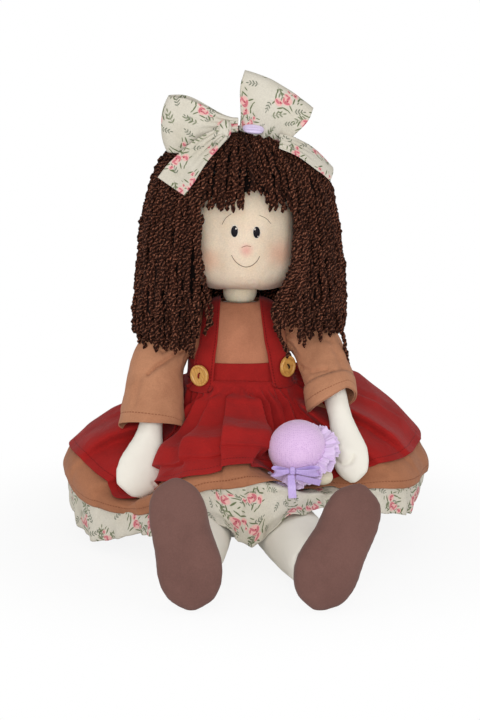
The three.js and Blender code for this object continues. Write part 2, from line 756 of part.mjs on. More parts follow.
const drape = makeDrape();
const drapeUp = gridNormals(drape, true, 3).map((row, i) => row.map((normal, k) => {
  const angle = (2 * Math.PI * k) / around;
  const level = vec(Math.cos(angle), Math.sin(angle), 0);
  return level.lerp(normal.clone().negate(), Math.min(i / 2, 1)).normalize();
}));

/** One layer of the skirts between two rows of the drape, over it or under it. */
function makeSkirt([first, last], under) {
  const layer = (height) => movedGrid(drape, drapeUp, height).slice(first, last + 1);
  return wall(layer(under + cloth), layer(under));
}

const layerStep = cloth + clothGap;
addPiece('petticoat', makeSkirt(petticoatRows, -layerStep), floralCotton);
addPiece('underskirt', makeSkirt(underskirtRows, 0), tanCotton);
addPiece('pinafore_skirt', makeSkirt(pinaforeRows, layerStep), redCotton);

// Neck and head

function makeNeck() {
  const meet = nodHeight - Math.sqrt(neckBall ** 2 - neckRadius ** 2);
  const foot = torsoHeight + seamGap;
  const points = [new THREE.Vector2(0, foot), new THREE.Vector2(neckRadius - 1.2, foot), new THREE.Vector2(neckRadius, foot + 1.2)];
  const low = Math.asin((meet - nodHeight) / neckBall);
  const steps = 8;
  for (let i = 0; i <= steps; i++) {
    const angle = lerp(low, Math.PI / 2, i / steps);
    points.push(new THREE.Vector2(i === steps ? 0 : neckBall * Math.cos(angle), nodHeight + neckBall * Math.sin(angle)));
  }
  const neck = new THREE.LatheGeometry(points, 20);
  neck.rotateX(Math.PI / 2);
  return neck;
}

function makeHead(grow = 0) {
  const heights = [0, 1.2, 4, 9, 18, 30, 50, 75, 98, 114, 127, 137, 144, 148];
  const grid = stackedRings(headSections, heights, headSquareness, 24, headCentreX, 0);
  for (const ring of grid) for (const point of ring) point.z += headBase;
  return loft(grow ? offsetGrid(grid, grow) : grid);
}

addPiece('neck', makeNeck(), creamCotton);
const headSolid = solidOf(makeHead()).subtract(ballSolid(neckBall + headRecessGap, [0, 0, nodHeight], 20));
addPiece('head', geometryOf(headSolid), creamCotton);

// Hair

function hairOuter(height, angle, lift = 0) {
  const [a, b] = readRows(hairSections, height);
  const [x, y] = outline(angle, a + lift, b + lift, hairSquareness);
  return vec(hairCentreX + x, hairCentreY + y, nodHeight + height);
}

function makeHairMass(grow = 0) {
  const heights = [hairEnd, hairEnd + 12, 0, 60, 110, hairTop - 37, hairTop - 19, hairTop - 7, hairTop];
  const grid = heights.map((height, i) => Array.from({ length: hairSteps }, (_, k) => {
    const angle = (2 * Math.PI * k) / hairSteps;
    const lock = 0.5 + 0.5 * Math.cos(hairLockCount * angle);
    const depth = hairLockDepth * smooth(hairTop + 1 - height, 0, 40);
    const point = hairOuter(height, angle, grow - depth * (1 - lock));
    if (i === heights.length - 1) point.z += grow;
    if (i === 0) point.z += 5 * Math.sin(5 * angle) + 3 * Math.sin(11 * angle);
    return point;
  }));
  return solidOf(loft(grid));
}

function makeFaceOpening() {
  const shape = new THREE.Shape();
  const below = nodHeight + hairEnd - 34;
  shape.moveTo(faceRight, below);
  shape.lineTo(faceRight, fringeBottom - 4);
  const scallops = 7;
  const rise = [0, 2, -1, 14, 11, -2, 0];
  for (let i = 0; i < scallops; i++) {
    const from = lerp(faceRight, faceLeft, i / scallops);
    const to = lerp(faceRight, faceLeft, (i + 1) / scallops);
    const meet = fringeBottom + (rise[i] + (rise[i + 1] ?? 0)) / 2;
    shape.quadraticCurveTo((from + to) / 2, fringeBottom - 6 + rise[i], to, meet);
  }
  shape.lineTo(faceLeft, below);
  const opening = new THREE.ExtrudeGeometry(shape, { depth: 200, bevelEnabled: false, curveSegments: 2 });
  opening.rotateX(Math.PI / 2);
  opening.translate(0, napeForward, 0);
  return solidOf(opening);
}

function bodyClearance() {
  const dress = solidOf(loft(torsoShell(bandBottom, bodiceTop, overBand + doubledCloth + 2.6)));
  const parts = [dress, boxSolid([-56, -44, torsoHeight - 18], [56, 44, torsoHeight + 6])];
  for (const [name, side] of [['right', rightSide], ['left', leftSide]]) {
    parts.push(solidOf(loft(sleeveRings(name, 1))));
    const button = new THREE.CylinderGeometry(buttonDiameter / 2 + 1, buttonDiameter / 2 + 1, buttonThickness + 2, 20);
    parts.push(solidOf(onButtonSeat(button, side)));
    parts.push(cylinderAlongX(27, side * 45, side * 70, shoulderHeight, 24));
  }
  return parts.reduce((sum, part) => sum.add(part));
}

const hairMass = makeHairMass()
  .subtract(makeFaceOpening())
  .subtract(solidOf(makeHead(seamGap)))
  .subtract(bodyClearance());

const beyond = 300; // farther out than any hair
const hairPieces = {
  hair_cap: [[-beyond, -beyond, fringeTop], [beyond, beyond, fringeTop + beyond]],
  hair_fringe: [[faceRight + seamGap, -beyond, headBase], [faceLeft - seamGap, 0, fringeTop - seamGap]],
  hair_curtain_right: [[-beyond, -beyond, fringeTop - beyond], [faceRight, sideBack, fringeTop - seamGap]],
  hair_curtain_left: [[faceLeft, -beyond, fringeTop - beyond], [beyond, sideBack, fringeTop - seamGap]],
  hair_back: [[-beyond, sideBack + seamGap, fringeTop - beyond], [beyond, beyond, fringeTop - seamGap]],
};
for (const [name, [low, high]] of Object.entries(hairPieces)) {
  addPiece(name, geometryOf(largest(hairMass.intersect(boxSolid(low, high)))), yarn);
}

// Bow: a floral strip gathered by a knot into two loops and two tails, and a lilac tie

/** A flat strip of cloth along points; halves are its half widths, wideAxis its width. */
function makeRibbon(points, halves, wideAxis, thickness, cup = 0) {
  const across = 3;
  const surface = points.map((p, i) => {
    const before = vec(...points[Math.max(i - 1, 0)]);
    const after = vec(...points[Math.min(i + 1, points.length - 1)]);
    const along = after.sub(before).normalize();
    const side = wideAxis.clone().addScaledVector(along, -wideAxis.dot(along)).normalize();
    const out = along.clone().cross(side);
    return Array.from({ length: across + 1 }, (_, k) => {
      const v = (2 * k) / across - 1;
      return vec(...p).addScaledVector(side, v * halves[i]).addScaledVector(out, cup * v * v);
    });
  });
  return strip(offsetGrid(surface, thickness / 2, false), offsetGrid(surface, -thickness / 2, false));
}

/** A ribbon loop: out from the knot, round its fold and back; corners is how far its corners reach past the tip. */
function makeLoop({ root, tip, lean, rootWidth, tipWidth, belly, corners = 4, thickness = ribbon, steps = 14, across = 4 }) {
  const start = vec(...root);
  const out = vec(...tip).sub(start);
  const outward = out.clone().normalize();
  const wideAxis = vec(...lean);
  wideAxis.addScaledVector(outward, -wideAxis.dot(outward)).normalize();
  const bellyAxis = outward.clone().cross(wideAxis);
  const surface = Array.from({ length: steps + 1 }, (_, i) => {
    const turn = Math.PI * 2 * (i / steps);
    const reach = (1 - Math.cos(turn)) / 2;
    const half = i < steps / 2 ? 1 : -1;
    const swell = belly * Math.sin(turn) * Math.sqrt(Math.max(reach, 0.02));
    const apart = i === steps / 2 ? 0 : half * (thickness / 2 + 0.5);
    const width = lerp(rootWidth, tipWidth, smooth(reach, 0, 0.85));
    return Array.from({ length: across + 1 }, (__, k) => {
      const v = (2 * k) / across - 1;
      return start.clone().addScaledVector(out, reach).addScaledVector(wideAxis, v * width)
        .addScaledVector(bellyAxis, swell + apart).addScaledVector(outward, corners * v * v * reach);
    });
  });
  return strip(offsetGrid(surface, thickness / 2, false), offsetGrid(surface, -thickness / 2, false));
}

/** A gathered knot: a short, bulging bundle along an axis. */
function makeKnot(centre, axis, half, wideRadius, thinRadius) {
  const way = vec(...axis).normalize();
  const path = new THREE.LineCurve3(way.clone().multiplyScalar(-half), way.clone().multiplyScalar(half));
  const grid = sweptRings(path, vec(0, 1, 0.2), (t) => {
    const swell = Math.max(1 - Math.abs(2 * t - 1) ** 3, 0.05) ** 0.5;
    return { a: thinRadius * swell, b: wideRadius * swell, squareness: 2.4 };
  }, 6, 12);
  const knot = loft(grid);
  knot.translate(...centre);
  return knot;
}

const onHead = ([x, y, height]) => [x, y, nodHeight + height];
const tie = (grow) => makeKnot(onHead([12, -25, 179]), [1, 0, -0.1], 9 + grow, 7.5 + grow, 7 + grow);
const gather = (grow) => makeKnot(onHead([-17, -37.6, 176.6]), [0.1, 0.45, 1], 11 + grow, 7.5 + grow, 6.5 + grow);
const hairGrown = makeHairMass(seamGap);
const tieGrown = solidOf(tie(seamGap));
const gatherGrown = solidOf(gather(seamGap));
const loopLeft = (grow) => solidOf(makeLoop({
  root: onHead([24, -24, 168]), tip: onHead([42, -26, 222]), lean: [0.85, 0, -0.53],
  rootWidth: 26 + grow, tipWidth: 43 + grow, belly: 13, corners: -3, thickness: ribbon + 4 * grow,
}));
const loopRight = makeLoop({
  root: onHead([-3, -28, 181]), tip: onHead([-82, -34, 183]), lean: [0.06, -0.1, 1],
  rootWidth: 7, tipWidth: 29, belly: 13, corners: -3,
});
const tailRight = makeRibbon(
  [[-18, -44, 172], [-30, -50, 164], [-47, -54, 149], [-62, -58, 131], [-71, -61, 119]].map(onHead),
  [7, 12, 15, 18, 18.5], vec(0.7, -0.45, -0.55), ribbon, 2,
);
const tailLeft = makeRibbon(
  [[42, -43, 166], [58, -36, 160], [74, -28, 150], [88, -22, 139], [99, -19, 128]].map(onHead),
  [10, 13, 15, 15, 13], vec(0.25, -0.6, -0.75), ribbon, 2,
);
const bow = {
  bow_tie: solidOf(tie(0)),
  bow_gather: solidOf(gather(0)),
  bow_loop_left: loopLeft(0).subtract(tieGrown),
  bow_loop_right: solidOf(loopRight).subtract(tieGrown).subtract(gatherGrown),
  bow_tail_right: solidOf(tailRight).subtract(gatherGrown),
  bow_tail_left: solidOf(tailLeft).subtract(loopLeft(seamGap)),
};
for (const [name, solid] of Object.entries(bow)) {
  const seated = largest(solid.subtract(hairGrown));
  addPiece(name, geometryOf(seated), name === 'bow_tie' ? lilacSatin : floralCotton);
}

// Bonnet baby on the lap

const bonnetTurn = new THREE.Quaternion().setFromUnitVectors(vec(0, 0, 1), bonnetAxis);

function onBonnet(geometry) {
  geometry.applyQuaternion(bonnetTurn);
  geometry.translate(...bonnetCentre);
  return geometry;
}

function makeBonnetCrown() {
  const steps = 8;
  const base = -frillSet + frillThickness;
  const points = [new THREE.Vector2(0, base)];
  const low = Math.asin(base / bonnetRadius);
  for (let i = 0; i <= steps; i++) {
    const angle = lerp(low, Math.PI / 2, i / steps);
    const height = base + crownFlatness * (bonnetRadius * Math.sin(angle) - base);
    points.push(new THREE.Vector2(i === steps ? 0 : bonnetRadius * Math.cos(angle), height));
  }
  const crown = new THREE.LatheGeometry(points, 20);
  crown.rotateX(Math.PI / 2);
  return onBonnet(crown);
}

function makeFrill() {
  const steps = 40;
  const inner = 20;
  const outer = Math.sqrt(bonnetRadius ** 2 - frillSet ** 2) + frillWidth;
  const ring = (radius, height, wave) => Array.from({ length: steps }, (_, k) => {
    const angle = (2 * Math.PI * k) / steps;
    return vec(radius * Math.cos(angle), radius * Math.sin(angle), height + wave * Math.sin(frillWaves * angle));
  });
  const base = -frillSet + frillThickness - seamGap;
  const top = [ring(inner, base, 0), ring((inner + outer) / 2, base - 1.6, 1), ring(outer, base - 3, 2.4)];
  const under = top.map((row) => row.map((p) => vec(p.x, p.y, p.z - frillThickness)));
  return onBonnet(wall(top, under));
}

function makeBabyBody() {
  const body = new THREE.SphereGeometry(1, 14, 8);
  body.scale(...babySize);
  body.rotateZ(-0.5);
  body.translate(...babyCentre);
  return body;
}

addPiece('bonnet_crown', makeBonnetCrown(), lilacCotton);
addPiece('bonnet_frill', makeFrill(), lilacLace);
addPiece('baby_body', makeBabyBody(), beigeCotton);

const thin = satinThickness;
const [tieX, tieY, tieZ] = bonnetTie;
const satinPieces = {
  bonnet_knot: makeKnot(bonnetTie, [1, 0, 0], 3.4, 4, 3),
  bonnet_loop_right: makeLoop({
    root: [tieX - 3.9, tieY, tieZ], tip: [tieX - 17, tieY + 0.5, tieZ - 0.5],
    lean: [0, -0.3, 1], rootWidth: 2.2, tipWidth: 4.6, belly: 3.2, thickness: thin, steps: 8, across: 2,
  }),
  bonnet_loop_left: makeLoop({
    root: [tieX + 3.9, tieY, tieZ], tip: [tieX + 24, tieY + 3, tieZ - 1],
    lean: [0, -0.3, 1], rootWidth: 2.2, tipWidth: 4.6, belly: 3.2, thickness: thin, steps: 8, across: 2,
  }),
  bonnet_ribbon_right: makeRibbon(
    [[tieX - 1.5, tieY - 2.2, tieZ - 4.1], [tieX - 1, tieY - 9.5, tieZ - 12], [tieX, tieY - 13, tieZ - 25]],
    [3.4, 4, 4.2], vec(1, 0, 0), thin,
  ),
  bonnet_ribbon_left: makeRibbon(
    [[tieX + 3.5, tieY - 1.5, tieZ - 5.6], [tieX + 16, tieY, tieZ - 9.5], [tieX + 29, tieY + 1.5, tieZ - 13]],
    [2.6, 3.2, 3.4], vec(0, -0.3, 1), thin,
  ),
};
for (const [name, geometry] of Object.entries(satinPieces)) addPiece(name, geometry, lilacSatin);

export default doll;
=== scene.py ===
"""A seated rag doll in cotton and yarn, laid over its CAD frame. Everything is in metres."""

import json
import logging
import math
import random
from collections.abc import Iterator, Sequence
from contextlib import contextmanager
from dataclasses import dataclass, field, replace
from enum import Enum

import bmesh
import bpy
import numpy as np
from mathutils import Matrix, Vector, noise
from mathutils.bvhtree import BVHTree

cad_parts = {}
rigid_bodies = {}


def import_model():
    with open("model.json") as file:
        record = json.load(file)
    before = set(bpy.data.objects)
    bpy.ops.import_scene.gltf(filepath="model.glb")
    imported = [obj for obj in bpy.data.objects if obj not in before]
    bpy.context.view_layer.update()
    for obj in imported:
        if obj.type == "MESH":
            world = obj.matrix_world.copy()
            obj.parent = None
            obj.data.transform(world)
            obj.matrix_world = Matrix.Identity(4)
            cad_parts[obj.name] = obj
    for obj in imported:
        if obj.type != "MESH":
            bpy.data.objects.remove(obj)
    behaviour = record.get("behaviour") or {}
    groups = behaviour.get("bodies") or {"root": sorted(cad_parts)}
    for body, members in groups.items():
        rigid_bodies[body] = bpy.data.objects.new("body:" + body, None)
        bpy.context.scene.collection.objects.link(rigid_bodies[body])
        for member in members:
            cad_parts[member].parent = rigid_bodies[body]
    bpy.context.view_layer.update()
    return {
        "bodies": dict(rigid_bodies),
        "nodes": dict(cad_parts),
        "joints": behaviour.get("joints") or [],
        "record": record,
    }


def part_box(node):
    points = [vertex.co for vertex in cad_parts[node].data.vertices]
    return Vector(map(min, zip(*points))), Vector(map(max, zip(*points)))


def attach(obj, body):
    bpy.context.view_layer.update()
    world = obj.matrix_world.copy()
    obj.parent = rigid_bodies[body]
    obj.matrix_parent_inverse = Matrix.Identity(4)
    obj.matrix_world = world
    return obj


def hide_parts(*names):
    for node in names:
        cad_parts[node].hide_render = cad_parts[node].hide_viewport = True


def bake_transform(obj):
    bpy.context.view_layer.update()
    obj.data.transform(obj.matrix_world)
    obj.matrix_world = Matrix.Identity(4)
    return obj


LOG = logging.getLogger("rag_doll")
MM = 0.001

Point = tuple[float, float, float]
Rows = Sequence[Sequence[float]]
Array = np.ndarray
Piece = bpy.types.Object


class Side(Enum):
    """The doll's own right and left, by the sign of X."""

    RIGHT = -1
    LEFT = 1

    @property
    def word(self) -> str:
        """The side's name as the nodes have it."""
        return self.name.lower()


class Coordinates(Enum):
    """What a woven pattern follows."""

    OBJECT = "Object"
    CLOTH = "UV"


# Colour and shader nodes


def linear(colour: str) -> tuple[float, float, float, float]:
    """Turns an sRGB hex value into linear red, green, blue and alpha."""
    parts = [int(colour[i : i + 2], 16) / 255 for i in (1, 3, 5)]
    return (*[p / 12.92 if p <= 0.04045 else ((p + 0.055) / 1.055) ** 2.4 for p in parts], 1.0)


@dataclass(frozen=True)
class Paint:
    """A node tree that finishes are painted in."""

    tree: bpy.types.NodeTree

    def add(
        self, kind: str, inputs: dict[int | str, object] | Sequence[object] = (), out: int | str = 0,
        **settings: object,
    ) -> bpy.types.NodeSocket | None:
        """Adds a node with its settings and links.

        Args:
            kind: The node's type, without its prefix.
            inputs: A value, hex colour or output socket for each input, in their order or by name or place.
            out: The output that is wanted, by name or place.
            **settings: The node's own settings.

        Returns:
            That output socket, or None for a node that has none.
        """
        node = self.tree.nodes.new(f"ShaderNode{kind}")
        for name, value in settings.items():
            setattr(node, name, value)
        self.join(node, inputs if isinstance(inputs, dict) else dict(enumerate(inputs)))
        return node.outputs[out] if len(node.outputs) else None

    def join(self, node: bpy.types.Node, inputs: dict[int | str, object]) -> None:
        """Gives a node's inputs their values, or links them to output sockets."""
        for key, value in inputs.items():
            if isinstance(value, bpy.types.NodeSocket):
                self.tree.links.new(value, node.inputs[key])
            else:
                node.inputs[key].default_value = linear(value) if isinstance(value, str) else value


def new_material(name: str) -> tuple[bpy.types.Material, Paint, bpy.types.Node]:
    """A material with only a Principled shader, its tree and that shader."""
    material = bpy.data.materials.new(name)
    material.use_nodes = True
    material.node_tree.nodes.clear()
    paint = Paint(material.node_tree)
    shader = paint.add("BsdfPrincipled")
    paint.add("OutputMaterial", {"Surface": shader})
    return material, paint, shader.node


# Finishes


@dataclass(frozen=True)
class RosebudPrint:
    """A printed pattern of small rosebuds among leafy sprigs.

    The buds are about 5 mm across and the sprigs 12 mm long, as on dress cotton.
    """

    bud_spacing: float = 0.038
    sprig_spacing: float = 0.0175
    wide_sprigs: float = 1.35
    sprig_share: float = 0.5
    sprig_ink: float = 0.8
    shades: tuple[str, ...] = ("#E3B3AC", "#C9707A", "#A63A4A")
    leaf: str = "#66704F"
    dark_leaf: str = "#4E5A48"

    # Centre, half sizes and turn of each printed oval, in parts of the spacing
    buds = (
        (0.0, 0.03, 0.15, 0.12, 0.3), (-0.06, -0.07, 0.1, 0.08, 1.0), (0.25, -0.04, 0.12, 0.095, 1.2),
        (-0.2, -0.17, 0.075, 0.06, 0.5),
    )
    folds = (
        (0.04, 0.08, 0.09, 0.036, 0.6), (-0.06, -0.01, 0.085, 0.032, -0.4), (-0.06, -0.1, 0.06, 0.024, 0.9),
        (0.08, -0.03, 0.07, 0.026, -1.0), (0.27, -0.07, 0.075, 0.036, 1.4), (0.2, 0.01, 0.05, 0.024, 0.3),
        (-0.2, -0.18, 0.045, 0.03, 0.2),
    )
    hearts = (
        (0.0, 0.04, 0.034, 0.016, 0.2), (0.06, 0.02, 0.028, 0.012, -0.8), (0.2, -0.02, 0.03, 0.018, 1.0),
        (-0.17, -0.15, 0.02, 0.012, 0.5),
    )
    spray = (
        (0.14, 0.2, 0.1, 0.02, 0.9), (0.27, 0.12, 0.1, 0.022, 0.3), (0.36, -0.1, 0.09, 0.02, -0.2),
        (0.25, -0.2, 0.1, 0.02, -0.9), (0.06, -0.22, 0.1, 0.018, -1.5), (-0.2, -0.27, 0.09, 0.022, 0.8),
        (-0.28, -0.06, 0.1, 0.02, 0.1), (-0.19, 0.1, 0.1, 0.02, -0.7), (-0.02, 0.23, 0.1, 0.018, 1.5),
        (0.07, 0.3, 0.07, 0.014, 1.2), (-0.34, -0.15, 0.07, 0.014, 0.3), (0.33, 0.22, 0.06, 0.016, 0.6),
        (0.15, -0.3, 0.06, 0.016, -1.1), (-0.3, 0.17, 0.06, 0.016, -0.5),
    )
    sprig = (
        (0.0, 0.0, 0.36, 0.012, 0.0), (-0.19, 0.08, 0.1, 0.036, -0.9), (0.0, 0.09, 0.11, 0.038, -0.8),
        (0.18, 0.075, 0.1, 0.034, -0.7), (0.36, 0.0, 0.09, 0.034, 0.0),
    )

    def _ovals(self, paint: Paint, place: object, table: Rows) -> object:
        """How much of a place is covered by any of a table's ovals."""
        covered: object = 0.0
        for x, y, wide, high, turn in table:
            moved = paint.add("VectorMath", (place, (x, y, 0)), operation="SUBTRACT")
            turned = paint.add("VectorRotate", {"Vector": moved, "Angle": turn}, rotation_type="Z_AXIS")
            scaled = paint.add("VectorMath", (turned, (wide, high, 1)), operation="DIVIDE")
            away = paint.add("VectorMath", (scaled,), "Value", operation="LENGTH")
            inside = paint.add("MapRange", (away, 1.2, 0.8), interpolation_type="SMOOTHSTEP")
            covered = paint.add("Math", (covered, inside), operation="MAXIMUM")
        return covered

    def _scattered(self, paint: Paint, vector: object, spacing: float, shift: float) -> tuple[object, object]:
        """The place in the nearest of many scattered motifs, turned its own way, and its chance number."""
        spread, start = (1 / spacing, 1 / spacing, 0), (shift, shift * 0.7, 0)
        scaled = paint.add("VectorMath", (vector, spread, start), operation="MULTIPLY_ADD")
        nearest = {"Vector": scaled, "Scale": 1.0, "Randomness": 0.62}
        cells = paint.add("TexVoronoi", nearest, voronoi_dimensions="2D").node.outputs
        local = paint.add("VectorMath", (scaled, cells["Position"]), operation="SUBTRACT")
        first, second, _ = paint.add("SeparateXYZ", (cells["Color"],)).node.outputs
        angle = paint.add("Math", (first, 2 * math.pi), operation="MULTIPLY")
        return paint.add("VectorRotate", {"Vector": local, "Angle": angle}, rotation_type="Z_AXIS"), second

    def _folded(self, paint: Paint, place: object) -> object:
        """A place with both sides of its X axis drawn alike."""
        x, y, _ = paint.add("SeparateXYZ", (place,)).node.outputs
        return paint.add("CombineXYZ", (x, paint.add("Math", (y,), operation="ABSOLUTE")))

    def colour(self, paint: Paint, vector: object, ground: object) -> object:
        """Prints the pattern on a ground.

        Args:
            paint: The material's node tree.
            vector: Coordinates along the cloth, in metres.
            ground: The cloth's colour before printing.

        Returns:
            The colour socket of the printed cloth.
        """
        printed = ground
        for spacing, shift, ink in (
            (self.sprig_spacing, 3.7, self.dark_leaf),
            (self.sprig_spacing * self.wide_sprigs, 11.3, self.leaf),
        ):
            place, chance = self._scattered(paint, vector, spacing, shift)
            leaves = self._ovals(paint, self._folded(paint, place), self.sprig)
            kept = paint.add("Math", (chance, self.sprig_share), operation="LESS_THAN")
            share = paint.add("Math", (leaves, kept), operation="MULTIPLY")
            faint = paint.add("Math", (share, self.sprig_ink), operation="MULTIPLY")
            printed = paint.add("Mix", {0: faint, 6: printed, 7: ink}, 2, data_type="RGBA")
        place, _ = self._scattered(paint, vector, self.bud_spacing, 0.0)
        tables = (self.spray, self.buds, self.folds, self.hearts)
        for table, ink in zip(tables, (self.leaf, *self.shades)):
            share = self._ovals(paint, place, table)
            printed = paint.add("Mix", {0: share, 6: printed, 7: ink}, 2, data_type="RGBA")
        return printed


@dataclass(frozen=True)
class Blush:
    """Chalk rubbed into the cloth round a point."""

    centre: Point
    radius: float
    colour: str
    strength: float = 0.62


@dataclass(frozen=True)
class Finish:
    """What a piece is made of: a material's name, its slot in the record and its colours."""

    name: str
    slot: str
    colour: str
    shade: str = ""

    def inputs(self, paint: Paint, body: object) -> dict[str, object]:
        """The Principled shader's inputs, from the object's own coordinates."""
        raise NotImplementedError(self.name)

    def material(self) -> bpy.types.Material:
        """The material, made on first use."""
        if self.name not in bpy.data.materials:
            _, paint, shader = new_material(self.name)
            paint.join(shader, self.inputs(paint, paint.add("TexCoord", out="Object")))
        return bpy.data.materials[self.name]


@dataclass(frozen=True)
class Cotton(Finish):
    """Plain-woven dress cotton, dyed or printed: matt, with a faint weave, slubs and soft creases.

    Its threads are 0.5 mm apart on the real cloth and drawn 1 mm apart, the least that shows. Over pale fibre
    stuffing, light that goes through it comes back warmer, which is the scatter.
    """

    thread: float = 0.001
    thread_depth: float = 0.00005
    crumple: float = 0.0007
    crumple_size: float = 0.016
    sheen: float = 0.06
    scatter: float = 0.0
    follows: Coordinates = Coordinates.OBJECT
    hem: float = 0.0
    stitch: float = 0.0022
    stitch_beat: float = 0.0032
    pattern: RosebudPrint | None = None
    blushes: tuple[Blush, ...] = ()

    def inputs(self, paint: Paint, body: object) -> dict[str, object]:
        """Weaves, dyes, prints and creases the cloth."""
        woven = paint.add("TexCoord", out=self.follows.value)
        fade = paint.add("TexNoise", {"Vector": body, "Scale": 22.0, "Detail": 4.0, "Roughness": 0.6})
        faded = paint.add("MapRange", (fade, 0.42, 0.72, 0.0, 0.75))
        colour = paint.add("Mix", {0: faded, 6: self.colour, 7: self.shade}, 2, data_type="RGBA")
        if self.pattern:
            colour = self.pattern.colour(paint, paint.add("TexCoord", out="UV"), colour)
        for blush in self.blushes:
            away = paint.add("VectorMath", (body, blush.centre), "Value", operation="DISTANCE")
            reach = (away, blush.radius, 0.0, 0.0, blush.strength)
            rubbed = paint.add("MapRange", reach, interpolation_type="SMOOTHSTEP")
            colour = paint.add("Mix", {0: rubbed, 6: colour, 7: blush.colour}, 2, data_type="RGBA")
        slub = paint.add("TexNoise", {"Vector": body, "Scale": 650.0, "Detail": 2.0})
        slubs = paint.add("MapRange", (slub, 0.3, 0.7, 0.93, 1.05))
        colour = paint.add("Mix", {0: 1.0, 6: colour, 7: slubs}, 2, data_type="RGBA", blend_type="MULTIPLY")
        height = self._weave(paint, woven)
        if self.hem:
            colour, height = self._stitches(paint, woven, colour, height)
        crumpled = {"Scale": 1 / self.crumple_size, "Detail": 3.0, "Roughness": 0.45, "Distortion": 0.6}
        large = paint.add("TexNoise", {"Vector": body} | crumpled)
        creased = paint.add("Bump", {"Strength": 0.5, "Distance": self.crumple * 4, "Height": large})
        threads = {"Strength": 0.6, "Distance": self.thread_depth, "Height": height, "Normal": creased}
        return {
            "Base Color": colour, "Normal": paint.add("Bump", threads),
            "Roughness": paint.add("MapRange", (slub, 0.0, 1.0, 0.78, 0.95)),
            "Sheen Weight": self.sheen, "Sheen Roughness": 0.5, "Specular IOR Level": 0.12,
            "Subsurface Weight": self.scatter, "Subsurface Radius": (1.0, 0.6, 0.4), "Subsurface Scale": 0.02,
        }

    def _weave(self, paint: Paint, woven: object) -> object:
        """The height of crossing threads, from 0 to about 1."""
        waves = paint.add("VectorMath", (woven, (2 * math.pi / self.thread,) * 3), operation="MULTIPLY")
        sines = paint.add("VectorMath", (waves,), operation="SINE")
        x, y, z = paint.add("SeparateXYZ", (sines,)).node.outputs
        crossed: object = 0.5
        for first, second in ((x, y), (y, z), (z, x)):
            crossed = paint.add("Math", (first, second, crossed), operation="MULTIPLY_ADD")
        return crossed

    def _stitches(self, paint: Paint, woven: object, colour: object, height: object) -> tuple[object, object]:
        """A row of machine stitches at the hem's height, drawn in the colour and pressed into the height."""
        along, up, _ = paint.add("SeparateXYZ", (woven,)).node.outputs
        row = paint.add("Math", (up, self.hem, 0.0005), operation="COMPARE")
        beat = paint.add("Math", (along, self.stitch_beat), operation="MODULO")
        long = paint.add("Math", (beat, self.stitch), operation="LESS_THAN")
        stitch = paint.add("Math", (row, long), operation="MULTIPLY")
        drawn = paint.add("Math", (stitch, 0.55), operation="MULTIPLY")
        sewn = paint.add(
            "Mix", {0: drawn, 6: colour, 7: self.shade}, 2, data_type="RGBA", blend_type="MULTIPLY"
        )
        return sewn, paint.add("Math", (row, -5.0, height), operation="MULTIPLY_ADD")


@dataclass(frozen=True)
class Yarn(Finish):
    """Two-ply wool yarn, dyed dark brown, with fuzzy plies: painted highlights on their crests and painted shade
    between them.
    """

    name: str = "dark_brown_wool_yarn"
    slot: str = "yarn"
    colour: str = "#3F1D10"
    # The shade is the painted shade between the plies, and the crest is the painted highlight on their crests
    shade: str = "#0F0503"
    crest: str = "#97634D"

    def inputs(self, paint: Paint, body: object) -> dict[str, object]:
        """Paints shade between the plies and highlights on their crests, and tones the yarn strand by strand."""
        crest = paint.add("Attribute", out="Fac", attribute_name="crest")
        tone = paint.add("Attribute", out="Fac", attribute_name="tone")
        fibre = paint.add("TexNoise", {"Vector": body, "Scale": 900.0, "Detail": 3.0})
        clumps = paint.add("TexNoise", {"Vector": body, "Scale": 330.0, "Detail": 2.0})
        # Painted shade between the plies and painted highlights on the ply crests, set by each point's crest value
        colour = paint.add("Mix", {0: crest, 6: self.shade, 7: self.colour}, 2, data_type="RGBA")
        lit = paint.add("Math", (fibre, crest), operation="MULTIPLY")
        lifted = paint.add("MapRange", (lit, 0.3, 0.58))
        colour = paint.add("Mix", {0: lifted, 6: colour, 7: self.crest}, 2, data_type="RGBA")
        strand = paint.add("Math", (tone, 0.5, 0.65), operation="MULTIPLY_ADD")
        patch = paint.add("MapRange", (clumps, 0.25, 0.75, 0.55, 1.5))
        for shade in (strand, patch):
            colour = paint.add(
                "Mix", {0: 1.0, 6: colour, 7: shade}, 2, data_type="RGBA", blend_type="MULTIPLY"
            )
        fuzz = paint.add("Bump", {"Strength": 0.7, "Distance": 0.0004, "Height": fibre})
        return {"Base Color": colour, "Normal": fuzz, "Roughness": 0.9, "Specular IOR Level": 0.12}


@dataclass(frozen=True)
class Thread(Finish):
    """Twisted sewing cotton, mercerised, so that it shines a little."""

    def inputs(self, paint: Paint, body: object) -> dict[str, object]:
        """Twists the thread's fibres."""
        fibre = paint.add("TexNoise", {"Vector": body, "Scale": 1800.0, "Detail": 2.0})
        tone = paint.add("MapRange", (fibre, 0.0, 1.0, 0.7, 1.2))
        colour = paint.add(
            "Mix", {0: 1.0, 6: self.colour, 7: tone}, 2, data_type="RGBA", blend_type="MULTIPLY"
        )
        twist = paint.add("Bump", {"Strength": 0.5, "Distance": 0.0002, "Height": fibre})
        return {"Base Color": colour, "Normal": twist, "Roughness": 0.55, "Specular IOR Level": 0.15}


